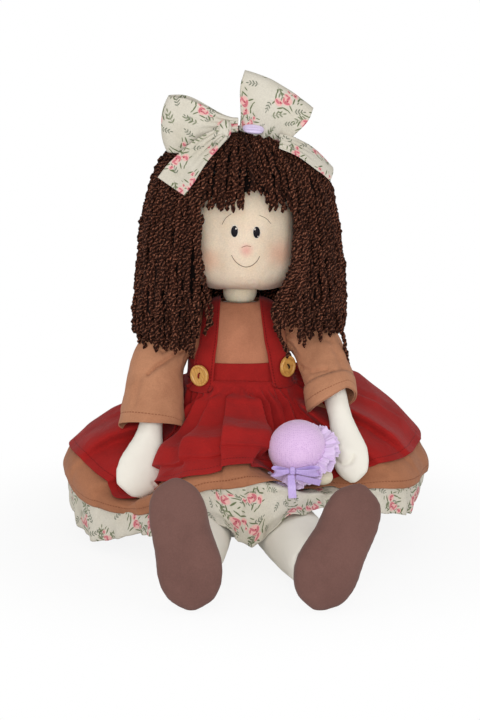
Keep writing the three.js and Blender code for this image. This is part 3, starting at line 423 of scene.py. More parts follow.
@dataclass(frozen=True)
class Olivewood(Finish):
    """Turned olive wood under thin varnish: fine darker rings and a satin gloss."""

    name: str = "varnished_olive_wood"
    slot: str = "wood"
    colour: str = "#D9A758"
    shade: str = "#A8702E"

    def inputs(self, paint: Paint, body: object) -> dict[str, object]:
        """Grows the rings and the pores."""
        laid = paint.add("Mapping", {"Vector": body, "Rotation": (0.5, 0.2, 0.7)})
        wave = {"Vector": laid, "Scale": 95.0, "Distortion": 5.0, "Detail": 3.0, "Detail Scale": 1.6}
        rings = paint.add("TexWave", wave, "Fac", wave_type="BANDS")
        pores = paint.add("TexNoise", {"Vector": laid, "Scale": 1400.0, "Detail": 2.0})
        grain = paint.add("Math", (rings, pores), operation="MULTIPLY")
        return {
            "Base Color": paint.add("Mix", {0: grain, 6: self.colour, 7: self.shade}, 2, data_type="RGBA"),
            "Normal": paint.add("Bump", {"Strength": 0.3, "Distance": 0.0002, "Height": grain}),
            "Roughness": 0.42, "Coat Weight": 0.35, "Coat Roughness": 0.2,
        }


@dataclass(frozen=True)
class Satin(Finish):
    """Woven polyester satin ribbon: long floats that shine across the ribbon, and a corded edge."""

    name: str = "lilac_satin_ribbon"
    slot: str = "lilac_satin"
    colour: str = "#CDB9EA"
    shade: str = "#A98BD0"

    def inputs(self, paint: Paint, body: object) -> dict[str, object]:
        """Lays the floats."""
        stretched = paint.add("Mapping", {"Vector": body, "Scale": (1.0, 0.25, 0.25)})
        floats = paint.add("TexNoise", {"Vector": stretched, "Scale": 1500.0, "Detail": 2.0})
        return {
            "Base Color": paint.add("Mix", {0: floats, 6: self.colour, 7: self.shade}, 2, data_type="RGBA"),
            "Normal": paint.add("Bump", {"Strength": 0.4, "Distance": 0.0001, "Height": floats}),
            "Roughness": 0.38, "Sheen Weight": 0.3,
        }


@dataclass(frozen=True)
class Gauze(Finish):
    """Fine nylon gauze or lace over a lining: an open net whose holes show as darker dots."""

    mesh: float = 0.0016
    depth: float = 0.00025

    def inputs(self, paint: Paint, body: object) -> dict[str, object]:
        """Knots the net over its lining."""
        cells = {"Vector": body, "Scale": 1 / self.mesh, "Randomness": 0.45}
        net = paint.add("TexVoronoi", cells, feature="DISTANCE_TO_EDGE")
        cord = paint.add("MapRange", (net, 0.06, 0.28, 1.0, 0.0))
        clump = paint.add("TexNoise", {"Vector": body, "Scale": 140.0, "Detail": 3.0})
        ground = paint.add("Mix", {0: clump, 6: self.shade, 7: self.colour}, 2, data_type="RGBA")
        return {
            "Base Color": paint.add("Mix", {0: cord, 6: ground, 7: self.colour}, 2, data_type="RGBA"),
            "Normal": paint.add("Bump", {"Strength": 0.6, "Distance": self.depth, "Height": cord}),
            "Roughness": 0.7, "Sheen Weight": 0.4,
        }


CREAM = Cotton(
    "cream_cotton", "cream_cotton", "#EBE0C6", "#DDCFB0", crumple=0.0004, crumple_size=0.02, scatter=0.35
)
NECK_CREAM = replace(CREAM, name="cream_neck_cotton", colour="#E9DAC3")
BLOUSE = Cotton("tan_blouse_cotton", "tan_cotton", "#B97C5E", "#A0684E", follows=Coordinates.CLOTH)
SLEEVE = Cotton("tan_sleeve_cotton", "tan_cotton", "#B88262", "#9F6C50", follows=Coordinates.CLOTH, hem=0.009)
UNDER = Cotton("tan_skirt_cotton", "tan_cotton", "#AA7253", "#925F44", follows=Coordinates.CLOTH, hem=0.008)
RED = Cotton("red_pinafore_cotton", "red_cotton", "#9F1F1D", "#841818", follows=Coordinates.CLOTH, hem=0.008)
BAND = Cotton("red_band_cotton", "red_cotton", "#9A1F1C", "#801818", follows=Coordinates.CLOTH, hem=0.002)
FLORAL = Cotton(
    "rosebud_cotton", "floral_cotton", "#D2CCBE", "#C1BAA8", follows=Coordinates.CLOTH, pattern=RosebudPrint()
)
SOLE = Cotton(
    "mauve_brown_cotton", "foot_cotton", "#705049", "#62453F", crumple=0.0003, crumple_size=0.03, sheen=0.12
)
# The little doll's body: cream cotton painted in the beige that it shows in shade, so its colour holds painted
# shade
CREAM_IN_PAINTED_SHADE = Cotton("beige_cotton", "beige_cotton", "#C2AE86", "#A8946C", crumple=0.0004, crumple_size=0.008)
GAUZE = Gauze("lilac_gauze", "lilac_cotton", "#E1BFE6", "#C298CE", mesh=0.0021, depth=0.0003)
LACE = Gauze("lilac_lace", "lilac_lace", "#DDB6EA", "#9C6CC2", mesh=0.0028, depth=0.0008)
EYE = Thread("black_embroidery_cotton", "cream_cotton", "#0B0712")
# White cotton for the pale rim round each eye, and for the painted highlights on the eyes
GLINT = Thread("white_embroidery_cotton", "cream_cotton", "#EFE6DA")
LINE = Thread("brown_embroidery_cotton", "cream_cotton", "#6E5544")
NOSE = Thread("rose_embroidery_cotton", "cream_cotton", "#A06A58")
RED_THREAD = Thread("red_button_thread", "red_cotton", "#8C1A1E")
DARK_THREAD = Thread("dark_button_thread", "yarn", "#2A1D18")
PALE_SATIN = Satin("pale_satin_ribbon", "lilac_satin", "#E4D8EE", "#C3B0DC")


# Shapes in numbers


def hermite(t: float, start: Array, slope_in: Array, end: Array, slope_out: Array) -> Array:
    """The place at t on a cubic curve with given ends and slopes."""
    return (
        (2 * t**3 - 3 * t**2 + 1) * start + (t**3 - 2 * t**2 + t) * slope_in
        + (3 * t**2 - 2 * t**3) * end + (t**3 - t**2) * slope_out
    )


def turns(count: int) -> Array:
    """Evenly spaced angles round a full turn."""
    return np.linspace(0, 2 * math.pi, count, endpoint=False)


def unit(way: Array) -> Array:
    """A vector made 1 long."""
    return way / np.linalg.norm(way)


def read_rows(rows: Rows, key: float) -> Array:
    """Reads a table of rows (key, value, value...) at a key, with smooth steps between the rows."""
    last = len(rows) - 1
    if key <= rows[0][0]:
        return np.array(rows[0][1:], float)
    if key >= rows[last][0]:
        return np.array(rows[last][1:], float)
    i = next(n for n, row in enumerate(rows) if row[0] > key) - 1
    before, after = np.array(rows[max(i - 1, 0)], float), np.array(rows[min(i + 2, last)], float)
    low, high = np.array(rows[i], float), np.array(rows[i + 1], float)
    span = high[0] - low[0]
    t = (key - low[0]) / span
    slope_in = (high - before) / (high[0] - before[0]) * span
    slope_out = (after - low) / (after[0] - low[0]) * span
    return hermite(t, low, slope_in, high, slope_out)[1:]


def smooth_step(x: float | Array, low: float, high: float) -> float | Array:
    """0 below low, 1 above high, and a smooth rise between them."""
    t = np.clip((np.asarray(x, float) - low) / (high - low), 0, 1)
    return t * t * (3 - 2 * t)


def outline(angle: Array, a: float, b: float, squareness: float) -> tuple[Array, Array]:
    """Points on a rounded-square outline with half sizes a and b."""
    c, s = np.cos(angle), np.sin(angle)
    power = 2 / squareness
    return a * np.sign(c) * np.abs(c) ** power, b * np.sign(s) * np.abs(s) ** power


def curve_through(points: Sequence[Point], count: int) -> Array:
    """Evenly spaced points on a smooth curve.

    Args:
        points: The points that the curve passes through.
        count: How many points to give.

    Returns:
        An array of count points.
    """
    given = [np.array(p, float) for p in points]
    given = [2 * given[0] - given[1], *given, 2 * given[-1] - given[-2]]
    dense = []
    for p0, p1, p2, p3 in zip(given, given[1:], given[2:], given[3:]):
        d0, d1, d2 = (max(float(np.linalg.norm(q - p)) ** 0.5, 1e-5) for p, q in ((p0, p1), (p1, p2), (p2, p3)))
        m1 = ((p1 - p0) / d0 - (p2 - p0) / (d0 + d1) + (p2 - p1) / d1) * d1
        m2 = ((p2 - p1) / d1 - (p3 - p1) / (d1 + d2) + (p3 - p2) / d2) * d1
        for t in np.linspace(0, 1, 24, endpoint=False):
            dense.append(hermite(t, p1, m1, p2, m2))
    dense.append(given[-2])
    return evenly(np.array(dense), count)


def evenly(line: Array, count: int) -> Array:
    """A line's points moved along it so that they lie evenly apart."""
    along = lengths_along(line)
    at = np.linspace(0, along[-1], count)
    return np.stack([np.interp(at, along, line[:, k]) for k in range(3)], axis=1)


def lengths_along(line: Array) -> Array:
    """How far along the line each point is."""
    return np.concatenate([[0], np.cumsum(np.linalg.norm(np.diff(line, axis=0), axis=1))])


def directions(line: Array) -> Array:
    """The unit direction of a line at each of its points."""
    ways = np.gradient(line, axis=0)
    return ways / np.maximum(np.linalg.norm(ways, axis=1, keepdims=True), 1e-12)


def grid_normals(grid: Array, closed: bool) -> Array:
    """The unit normal at each point of a grid of rows, which may close on themselves."""
    if closed:
        padded = np.concatenate([grid[:, -1:], grid, grid[:, :1]], axis=1)
        across = (padded[:, 2:] - padded[:, :-2]) / 2
    else:
        across = np.gradient(grid, axis=1)
    normals = np.cross(across, np.gradient(grid, axis=0))
    return normals / np.maximum(np.linalg.norm(normals, axis=2, keepdims=True), 1e-12)


def normals_from(grid: Array, middle: Array) -> Array:
    """The unit normals of a closed grid, each turned away from a middle."""
    normals = grid_normals(grid, True)
    return normals * np.sign((normals * (grid - middle)).sum(axis=2))[:, :, None]


def noise_at(points: Array, size: float, seed: float = 0.0) -> Array:
    """Smooth noise from about -1 to 1 at many points, with lumps of a given size."""
    flat = points.reshape(-1, 3) / size + seed
    return np.array([noise.noise(Vector(p)) for p in flat]).reshape(points.shape[:-1])


# Meshes


def mesh_object(
    name: str, points: Array, faces: Sequence[Sequence[int]], uv: Array | None = None,
    values: dict[str, Array] | None = None,
) -> Piece:
    """A mesh object with smooth faces.

    Args:
        name: The piece's name.
        points: Its points, in metres.
        faces: Its faces' corners.
        uv: A coordinate pair for every face corner, in metres along the cloth.
        values: Numbers kept at every point, by name.

    Returns:
        The new object.
    """
    mesh = bpy.data.meshes.new(name)
    mesh.from_pydata(np.asarray(points).tolist(), [], [list(map(int, f)) for f in faces])
    if uv is not None:
        mesh.uv_layers.new(name="cloth").data.foreach_set("uv", np.asarray(uv, np.float32).ravel())
    for key, numbers in (values or {}).items():
        mesh.attributes.new(key, "FLOAT", "POINT").data.foreach_set("value", np.asarray(numbers, np.float32))
    mesh.validate()
    mesh.shade_smooth()
    made = bpy.data.objects.new(name, mesh)
    bpy.context.scene.collection.objects.link(made)
    return made


def sheet_object(
    name: str, grid: Array, closed: bool, inside: Sequence[float] | None = None, uv: Array | None = None,
) -> Piece:
    """A single layer of cloth from a grid of points.

    Args:
        name: The piece's name.
        grid: Rows of points; a closed row runs round and meets itself.
        closed: Whether the rows close.
        inside: A point that the cloth's right side faces away from.
        uv: Coordinates along the cloth, with one more column than a closed grid.

    Returns:
        The new object, one layer thick.
    """
    rows, columns = grid.shape[:2]
    steps = columns if closed else columns - 1
    if uv is None:
        lengths = np.linalg.norm(
            np.diff(np.concatenate([grid, grid[:, :1]], axis=1), axis=1), axis=2
        ).mean(axis=0)
        across = np.concatenate([[0], np.cumsum(lengths)])[: steps + 1]
        drops = np.linalg.norm(np.diff(grid, axis=0), axis=2).mean(axis=1)
        up = np.concatenate([[0], np.cumsum(drops)])
        uv = np.stack(np.meshgrid(across, up[-1] - up), axis=2)
    i, k = np.meshgrid(np.arange(rows - 1), np.arange(steps), indexing="ij")
    nexts = (k + 1) % columns
    corners = [(i, k), (i, nexts), (i + 1, nexts), (i + 1, k)]
    uv_corners = [(i, k), (i, k + 1), (i + 1, k + 1), (i + 1, k)]
    if inside is not None:
        outward = grid - np.array(inside, float)
        if (grid_normals(grid, closed) * outward).sum(axis=2).mean() < 0:
            corners, uv_corners = corners[::-1], uv_corners[::-1]
    faces = np.stack([a * columns + b for a, b in corners], axis=2).reshape(-1, 4)
    places = np.stack([uv[a, b] for a, b in uv_corners], axis=2).reshape(-1, 2)
    return mesh_object(name, grid.reshape(-1, 3), faces, places)


@contextmanager
def edited(source: bpy.types.Mesh, target: bpy.types.Mesh | None = None) -> Iterator[bmesh.types.BMesh]:
    """A mesh opened for editing, and written to the target, or back, afterwards."""
    form = bmesh.new()
    form.from_mesh(source)
    yield form
    form.to_mesh(target or source)
    form.free()


def apply_modifiers(piece: Piece) -> None:
    """Makes a piece's modifiers part of its mesh."""
    bpy.ops.object.select_all(action="DESELECT")
    bpy.context.view_layer.objects.active = piece
    piece.select_set(True)
    for modifier in list(piece.modifiers):
        bpy.ops.object.modifier_apply(modifier=modifier.name)
    piece.select_set(False)


def thicken(piece: Piece, thickness: float) -> Piece:
    """Gives one layer of cloth its thickness, inwards."""
    solid = piece.modifiers.new("Thickness", "SOLIDIFY")
    solid.thickness = thickness
    solid.offset = -1.0
    apply_modifiers(piece)
    return piece


def points_of(piece: Piece, value: str = "co") -> Array:
    """A mesh's points, or another value that each has, as an array."""
    found = np.zeros(len(piece.data.vertices) * 3, np.float32)
    piece.data.vertices.foreach_get(value, found)
    return found.reshape(-1, 3).astype(float)


def move_points(piece: Piece, points: Array) -> None:
    """Puts a mesh's points where an array says."""
    piece.data.vertices.foreach_set("co", points.astype(np.float32).ravel())
    piece.data.update()


def normals_of(piece: Piece) -> Array:
    """A mesh's point normals as an array."""
    return points_of(piece, "normal")


def tree_of(pieces: Sequence[Piece]) -> BVHTree:
    """A tree of some meshes' faces, for rays and nearest points."""
    points: list[Vector] = []
    faces: list[list[int]] = []
    for piece in pieces:
        first = len(points)
        points.extend(v.co.copy() for v in piece.data.vertices)
        faces.extend([first + v for v in polygon.vertices] for polygon in piece.data.polygons)
    return BVHTree.FromPolygons(points, faces)


def finish_piece(
    piece: Piece, finish: Finish, body: str | None, nodes: Sequence[str] = ()
) -> Piece:
    """Dresses a piece, lets it ride on a body and stand for its CAD nodes.

    Args:
        piece: The piece, with its mesh in place.
        finish: What it is made of.
        body: The body it rides on, or None to leave it riding on none.
        nodes: The CAD nodes it stands for.

    Returns:
        The piece.
    """
    piece.data.materials.clear()
    piece.data.materials.append(finish.material())
    if body:
        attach(piece, body)
    if nodes:
        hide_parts(*nodes)
    LOG.info("%s: %d faces", piece.name, len(piece.data.polygons))
    return piece


# The photograph's view


@dataclass(frozen=True)
class View:
    """Where the camera stands, and how a place in the picture becomes a place on the doll."""

    target: Point = (0.0, 0.0, 0.192)
    distance: float = 1.9
    elevation: float = math.radians(12)
    focal: float = 1727.0
    centre: tuple[float, float] = (240.0, 360.0)
    lens: float = 86.35

    def point(self, u: float, v: float, y: float) -> Array:
        """The point at depth y that is seen at u, v."""
        s, c = math.sin(self.elevation), math.cos(self.elevation)
        rise = (self.centre[1] - v) / self.focal
        up = (rise * (self.distance + c * y) - s * y) / (c + s * rise)
        depth = self.distance + c * y - s * up
        return np.array([(u - self.centre[0]) / self.focal * depth, y, self.target[2] + up])

    def pixels(self, points: Array) -> tuple[Array, Array]:
        """Where points are seen, as u and v."""
        s, c = math.sin(self.elevation), math.cos(self.elevation)
        up = points[..., 2] - self.target[2]
        scale = self.focal / (self.distance + c * points[..., 1] - s * up)
        return self.centre[0] + scale * points[..., 0], self.centre[1] - scale * (s * points[..., 1] + c * up)

    def place_on(self, tree: BVHTree, u: float, v: float, lift: float = 0.0) -> Array:
        """The point of a surface that is seen at u, v, or the nearest to the line of sight, lifted off it."""
        start, way = self.point(u, v, -0.4), self.point(u, v, 0.1) - self.point(u, v, -0.4)
        place, normal, _, _ = tree.ray_cast(Vector(start), Vector(way).normalized())
        if place is None:
            sight = [tree.find_nearest(Vector(start + way * share)) for share in np.linspace(0, 1, 200)]
            place, normal, _, _ = min(sight, key=lambda found: found[3])
        return np.array(place) + np.array(normal) * lift


@dataclass(frozen=True)
class Studio:
    """A pale floor, soft lamps and the camera."""

    view: View = field(default_factory=View)
    key_power: float = 9.2
    fill_power: float = 7.4
    side_power: float = 5.5
    world_power: float = 0.55
    floor_half: float = 4.0
    floor_glow: float = 0.88

    def build(self) -> None:
        """Makes the floor, the lamps, the world and the camera."""
        self._camera()
        self._floor()
        for name, x in (("left", 1.7), ("right", -1.7)):
            self._lamp(f"side_{name}", (x, -1.2, 0.55), 0.9, self.side_power)
        self._lamp("key", (-0.2, -1.95, 0.95), 0.7, self.key_power)
        self._lamp("fill", (0.35, -2.05, 0.5), 0.8, self.fill_power)
        world = bpy.data.worlds.new("studio")
        world.use_nodes = True
        world.node_tree.nodes.clear()
        paint = Paint(world.node_tree)
        rays = paint.add("LightPath").node.outputs
        seen = paint.add("Math", (rays["Is Camera Ray"], rays["Is Glossy Ray"]), operation="MAXIMUM")
        strength = paint.add("MapRange", {"Value": seen, "To Min": self.world_power})
        glow = paint.add("Background", {"Color": (1, 1, 1, 1), "Strength": strength})
        paint.add("OutputWorld", {"Surface": glow})
        bpy.context.scene.world = world
        bpy.context.scene.view_settings.view_transform = "Standard"

    def _camera(self) -> None:
        """Puts the camera where the photograph was taken from."""
        data = bpy.data.cameras.new("camera")
        data.lens = self.view.lens
        data.clip_start, data.clip_end = 0.05, 20
        camera = bpy.data.objects.new("camera", data)
        bpy.context.scene.collection.objects.link(camera)
        back = Vector((0, -math.cos(self.view.elevation), math.sin(self.view.elevation)))
        camera.location = Vector(self.view.target) + back * self.view.distance
        camera.rotation_euler = (-back).to_track_quat("-Z", "Y").to_euler()
        bpy.context.scene.camera = camera

    def _lamp(self, name: str, place: Point, size: float, power: float) -> None:
        """Adds a square soft lamp that faces the doll."""
        data = bpy.data.lights.new(name, "AREA")
        data.size, data.energy = size, power
        lamp = bpy.data.objects.new(name, data)
        bpy.context.scene.collection.objects.link(lamp)
        lamp.location = place
        lamp.rotation_euler = (Vector((0, 0, 0.2)) - Vector(place)).to_track_quat("-Z", "Y").to_euler()

    def _floor(self) -> None:
        """Lays a white floor that keeps the shadow and turns pure white farther out."""
        half = self.floor_half
        corners = [(-half, -half, 0), (half, -half, 0), (half, half, 0), (-half, half, 0)]
        floor = mesh_object("floor", np.array(corners), [(0, 1, 2, 3)])
        material, paint, shader = new_material("white_paper")
        away = paint.add("VectorMath", (paint.add("TexCoord", out="Object"),), "Value", operation="LENGTH")
        far = paint.add("MapRange", (away, 0.2, 0.42, self.floor_glow), interpolation_type="SMOOTHSTEP")
        share = paint.add("Math", (far, paint.add("LightPath", out="Is Camera Ray")), operation="MULTIPLY")
        paint.join(shader, {"Base Color": (0.9, 0.9, 0.9, 1), "Roughness": 0.9})
        glow = paint.add("Emission", {"Color": (1, 1, 1, 1), "Strength": 1.0})
        mixed = paint.add("MixShader", (share, shader.outputs[0], glow))
        paint.join(paint.tree.nodes["Material Output"], {"Surface": mixed})
        floor.data.materials.append(material)


# Taking shapes over from the frame


def cast(tree: BVHTree, outside: Array, inside: Array) -> Array:
    """Where lines between two arrays of points first meet a surface.

    Args:
        tree: The surface.
        outside: Where each line starts.
        inside: Where each line ends.

    Returns:
        The meeting points, not-a-number where a line meets nothing.
    """
    outside, inside = np.broadcast_arrays(outside, inside)
    starts, ends = outside.reshape(-1, 3), inside.reshape(-1, 3)
    found = np.full(starts.shape, np.nan)
    for number, (start, end) in enumerate(zip(starts, ends)):
        way = Vector(end - start)
        place = tree.ray_cast(Vector(start), way.normalized(), way.length)[0]
        if place is not None:
            found[number] = place
    return found.reshape(outside.shape)


def soften(grid: Array, around: float, along: float, closed: bool = True) -> Array:
    """Evens out a grid of points.

    Args:
        grid: Rows of points.
        around: Spread of the evening within a row, in points.
        along: Spread of the evening from row to row, in points.
        closed: Whether the rows close.

    Returns:
        The evened grid.
    """
    evened = grid
    for axis, spread in ((1, around), (0, along)):
        if spread <= 0:
            continue
        reach = int(3 * spread) + 1
        steps = np.arange(-reach, reach + 1)
        weights = np.exp(-0.5 * (steps / spread) ** 2)
        weights /= weights.sum()
        pads = [(0, 0), (0, 0), (0, 0)]
        pads[axis] = (reach, reach)
        if axis == 1 and closed:
            padded = np.pad(evened, pads, mode="wrap")
        else:
            padded = np.pad(evened, pads, mode="reflect", reflect_type="odd")
        at = np.arange(evened.shape[axis])
        evened = sum(w * np.take(padded, at + i, axis=axis) for i, w in enumerate(weights))
    return evened


def close_holes(piece: Piece) -> None:
    """Closes a mesh's open edges with faces."""
    with edited(piece.data) as form:
        bmesh.ops.holes_fill(form, edges=[e for e in form.edges if e.is_boundary], sides=0)


def take_over(node: Piece, name: str, shrink: float) -> Piece:
    """A new, slightly smaller object with a CAD node's shape."""
    mesh = bpy.data.meshes.new(name)
    with edited(node.data, mesh) as form:
        bmesh.ops.remove_doubles(form, verts=form.verts, dist=2e-5)
        form.normal_update()
        for vertex, normal in [(v, v.normal.copy()) for v in form.verts]:
            vertex.co -= normal * shrink
    made = bpy.data.objects.new(name, mesh)
    bpy.context.scene.collection.objects.link(made)
    return made


def furrow(piece: Piece, line: Array, width: float, depth: float) -> None:
    """Presses a groove along a line into a piece's surface."""
    points, normals = points_of(piece), normals_of(piece)
    dense = evenly(line, max(2 * len(line), 40))
    low, high = dense.min(axis=0) - 3 * width, dense.max(axis=0) + 3 * width
    near = np.where(((points > low) & (points < high)).all(axis=1))[0]
    away = np.linalg.norm(points[near][:, None] - dense[None], axis=2).min(axis=1)
    points[near] -= normals[near] * (depth * np.exp(-((away / width) ** 2)))[:, None]
    move_points(piece, points)


# Stuffed pieces


@dataclass(frozen=True)
class Stuffed:
    """A stuffed cotton piece that takes over a CAD solid's shape."""

    node: str
    body: str
    finish: Finish
    name: str
    voxel: float = 0.004
    shrink: float = 0.0008
    ease: int = 4
    fill: float = 0.8

    def form(self, nodes: dict[str, Piece]) -> Piece:
        """The piece before it is filled: the solid's shape in even, softened faces."""
        piece = take_over(nodes[self.node], self.name, self.shrink)
        remesh = piece.modifiers.new("Even", "REMESH")
        remesh.mode, remesh.voxel_size, remesh.adaptivity = "VOXEL", self.voxel, 0.0
        ease = piece.modifiers.new("Ease", "SMOOTH")
        ease.factor, ease.iterations = 0.5, self.ease
        apply_modifiers(piece)
        return piece

    def dress(self, piece: Piece, wrinkle: float = 0.00025) -> Piece:
        """Refines the filled piece, wrinkles its skin a little and gives it its finish."""
        finer = piece.modifiers.new("Finer", "SUBSURF")
        finer.levels = finer.render_levels = 1
        apply_modifiers(piece)
        points, normals = points_of(piece), normals_of(piece)
        rise = wrinkle * (noise_at(points, 0.011, 3.0) + 0.6 * noise_at(points, 0.005, 9.0))
        points += normals * rise[:, None]
        points[:, 2] = np.maximum(points[:, 2], 0.0003)
        move_points(piece, points)
        piece.data.shade_smooth()
        finish_piece(piece, self.finish, self.body, (self.node,))
        return piece


@dataclass(frozen=True)
class Filling:
    """The stuffing, which swells every stuffed piece until its skin is tight."""

    pressure: float = 4.0
    frames: int = 20
    furthest: float = 0.0017

    def swell(self, pieces: Sequence[Piece]) -> None:
        """Runs the cloth simulation on all pieces at once and keeps its result."""
        scene = bpy.context.scene
        scene.frame_start, scene.frame_end = 1, self.frames
        for piece in pieces:
            cloth = piece.modifiers.new("Filling", "CLOTH")
            cloth.settings.quality = 4
            cloth.settings.mass = 0.3
            cloth.settings.tension_stiffness = cloth.settings.compression_stiffness = 20.0
            cloth.settings.bending_stiffness = 1.5
            cloth.settings.use_pressure = True
            cloth.settings.uniform_pressure_force = self.pressure
            cloth.settings.effector_weights.gravity = 0.0
            cloth.point_cache.frame_start, cloth.point_cache.frame_end = 1, self.frames
        for frame in range(1, self.frames + 1):
            scene.frame_set(frame)
        graph = bpy.context.evaluated_depsgraph_get()
        for piece in pieces:
            start = points_of(piece)
            swollen = points_of(piece.evaluated_get(graph))
            step = swollen - start
            far = np.maximum(np.linalg.norm(step, axis=1, keepdims=True), 1e-9)
            piece.modifiers.clear()
            move_points(piece, start + step * np.minimum(1, self.furthest / far))
            LOG.info("%s swelled by up to %.1f mm", piece.name, 1000 * min(far.max(), self.furthest))
        scene.frame_set(1)


# Torso, blouse and pinafore top


@dataclass(frozen=True)
class Trunk:
    """The torso's sections, which the blouse and the pinafore's top lie on."""

    sections = (
        (0, 54, 46), (6, 63, 54), (40, 69, 58), (90, 65, 55), (140, 57, 49), (182, 53, 45), (215, 52, 43),
        (234, 50, 38), (246, 44, 31), (253, 34, 25), (257, 24, 20.5), (258, 18.5, 18.5),
    )
    squareness: float = 2.4

    def half_sizes(self, height: float) -> Array:
        """Half width and half depth at a height, in millimetres."""
        return read_rows(self.sections, height)

    def depth(self, x: float, height: float) -> float:
        """How far the front stands before the middle plane at x and a height, in millimetres."""
        a, b = self.half_sizes(height)
        return b * max(1 - (abs(x) / a) ** self.squareness, 0) ** (1 / self.squareness)

    def shell(self, heights: Array, columns: int, grow: float) -> Array:
        """A grid round the torso, grown along its normals, in metres."""
        rows = []
        for height in heights:
            x, y = outline(turns(columns), *self.half_sizes(height), self.squareness)
            rows.append(np.stack([x, y, np.full(columns, height)], axis=1))
        grid = np.array(rows)
        normals = soften(grid_normals(grid, True), 2.0, 1.0)
        if (normals * (grid - (0, 0, 160))).sum() < 0:
            normals = -normals
        return (grid + normals * grow) * MM

    def crest(self, x: float, low: float) -> float:
        """The height above low where the torso is only x wide."""
        high = self.sections[-1][0]
        for _ in range(40):
            middle = (low + high) / 2
            low, high = (middle, high) if self.half_sizes(middle)[0] > x else (low, middle)
        return low


@dataclass(frozen=True)
class Bodice:
    """The blouse's body: a tube of tan cotton from waist to neck with open armholes."""

    trunk: Trunk = field(default_factory=Trunk)
    bottom: float = 174.0
    top: float = 257.6
    grow: float = 2.1
    armhole: float = 0.0185
    shoulder: float = 0.232

    def build(self) -> Piece:
        """Makes the blouse's body."""
        heights = np.concatenate([np.linspace(self.bottom, 240, 34), np.linspace(241.5, self.top, 16)])
        grid = self.trunk.shell(heights, 160, self.grow)
        normals = grid_normals(grid, True)
        outward = np.sign((normals * (grid - (0, 0, 0.16))).sum(axis=2).mean())
        folds = 0.0006 * noise_at(grid * (1, 1, 0.35), 0.012, 5.0) + 0.0003 * noise_at(grid, 0.006, 2.0)
        grid = grid + normals * (outward * np.minimum(folds, 0.0003))[:, :, None]
        piece = sheet_object("blouse_body", grid, True, (0, 0, 0.16))
        with edited(piece.data) as form:
            middles = [(face, face.calc_center_median()) for face in form.faces]
            holes = [
                face for face, (x, y, z) in middles
                if abs(x) > 0.03 and math.hypot(y, z - self.shoulder) < self.armhole
            ]
            bmesh.ops.delete(form, geom=holes, context="FACES")
        thicken(piece, 0.001)
        finish_piece(piece, BLOUSE, "doll", ("bodice",))
        return piece


@dataclass(frozen=True)
class Waistband:
    """The pinafore's doubled waistband, puckered a little by the skirt's gathers."""

    trunk: Trunk = field(default_factory=Trunk)
    bottom: float = 173.6
    top: float = 198.0
    grow: float = 4.8
    puckers: int = 46
    columns: int = 460

    def build(self) -> Piece:
        """Makes the waistband."""
        heights = np.linspace(self.bottom, self.top, 26)
        grid = self.trunk.shell(heights, self.columns, self.grow)
        angles = turns(self.columns)
        wander = 1.6 * np.sin(5 * angles) + 1.1 * np.sin(11 * angles + 1)
        share = (heights - self.bottom) / (self.top - self.bottom)
        edge = 1 - smooth_step(share, 0.0, 0.55)
        rise = 0.0004 * np.sin(self.puckers * angles + wander)[None] * edge[:, None]
        rounded = -0.0009 * np.abs(2 * share - 1) ** 6
        outward = grid.copy()
        outward[:, :, 2] = 0
        outward /= np.linalg.norm(outward, axis=2, keepdims=True)
        grid = grid + outward * (rise + rounded[:, None])[:, :, None]
        piece = thicken(sheet_object("pinafore_band", grid[::-1], True, (0, 0, 0.185)), 0.0018)
        finish_piece(piece, BAND, "doll", ("pinafore_waistband",))
        return piece


@dataclass(frozen=True)
class Strap:
    """A pinafore strap, from its rounded end below the band over the shoulder and down the back."""

    side: Side
    trunk: Trunk = field(default_factory=Trunk)
    front_end: float = 166.0
    band_bottom: float = 173.6
    band_top: float = 198.0
    inner_at_band: float = 27.0
    inner_at_shoulder: float = 20.0
    width_at_band: float = 20.5
    width_at_shoulder: float = 17.0

    def _lift(self, height: float) -> float:
        """How far the strap lies off the torso at a height, in millimetres."""
        over_bodice, over_band = 2.6, 5.2
        flare = 0.85 * max(self.band_bottom - 1 - height, 0)
        share = float(smooth_step(height, self.band_top + 8, self.band_top + 22))
        return over_band + 1.2 + (over_bodice + 0.5 - over_band - 1.2) * share + flare

    def build(self) -> Piece:
        """Makes the strap."""
        columns, rows = 25, 170
        surface = np.zeros((rows, columns, 3))
        lifts = np.zeros(rows)
        for i, u in enumerate(np.linspace(0, 1, rows)):
            climb = 0.5 - 0.5 * math.cos(2 * math.pi * u)
            inner = self.inner_at_band + (self.inner_at_shoulder - self.inner_at_band) * climb
            width = self.width_at_band + (self.width_at_shoulder - self.width_at_band) * climb
            for k, v in enumerate(np.linspace(-1, 1, columns)):
                x = inner + width * (v + 1) / 2
                low = self.front_end if u < 0.5 else self.band_bottom + 2
                foot = low + 5 * v**4 * (1 - climb) ** 8
                z = foot + (self.trunk.crest(x, self.band_top) - foot) * climb
                depth = self.trunk.depth(x, z)
                surface[i, k] = (self.side.value * x, -depth if u < 0.5 else depth, z)
            lifts[i] = self._lift(surface[i, columns // 2, 2]) + 2.2
        normals = soften(grid_normals(surface, False), 4.0, 6.0, closed=False)
        if (normals[0, :, 1]).mean() > 0:
            normals = -normals
        edges = np.linspace(-1, 1, columns)
        soft = -0.5 * np.abs(edges) ** 8
        grid = (surface + normals * (lifts[:, None] + soft[None])[:, :, None]) * MM
        grid += normals * (0.00025 * noise_at(grid, 0.009, 4.0))[:, :, None]
        along = lengths_along(grid[:, columns // 2])
        across = (edges + 1) / 2 * self.width_at_shoulder * MM
        uv = np.stack(np.meshgrid(along, np.minimum(across, across[::-1]), indexing="ij"), axis=2)
        piece = sheet_object(f"pinafore_strap_{self.side.word}", grid, False, (0, 0, 0.2), uv)
        thicken(piece, 0.0018)
        finish_piece(piece, BAND, "doll", (f"strap_{self.side.word}",))
        return piece


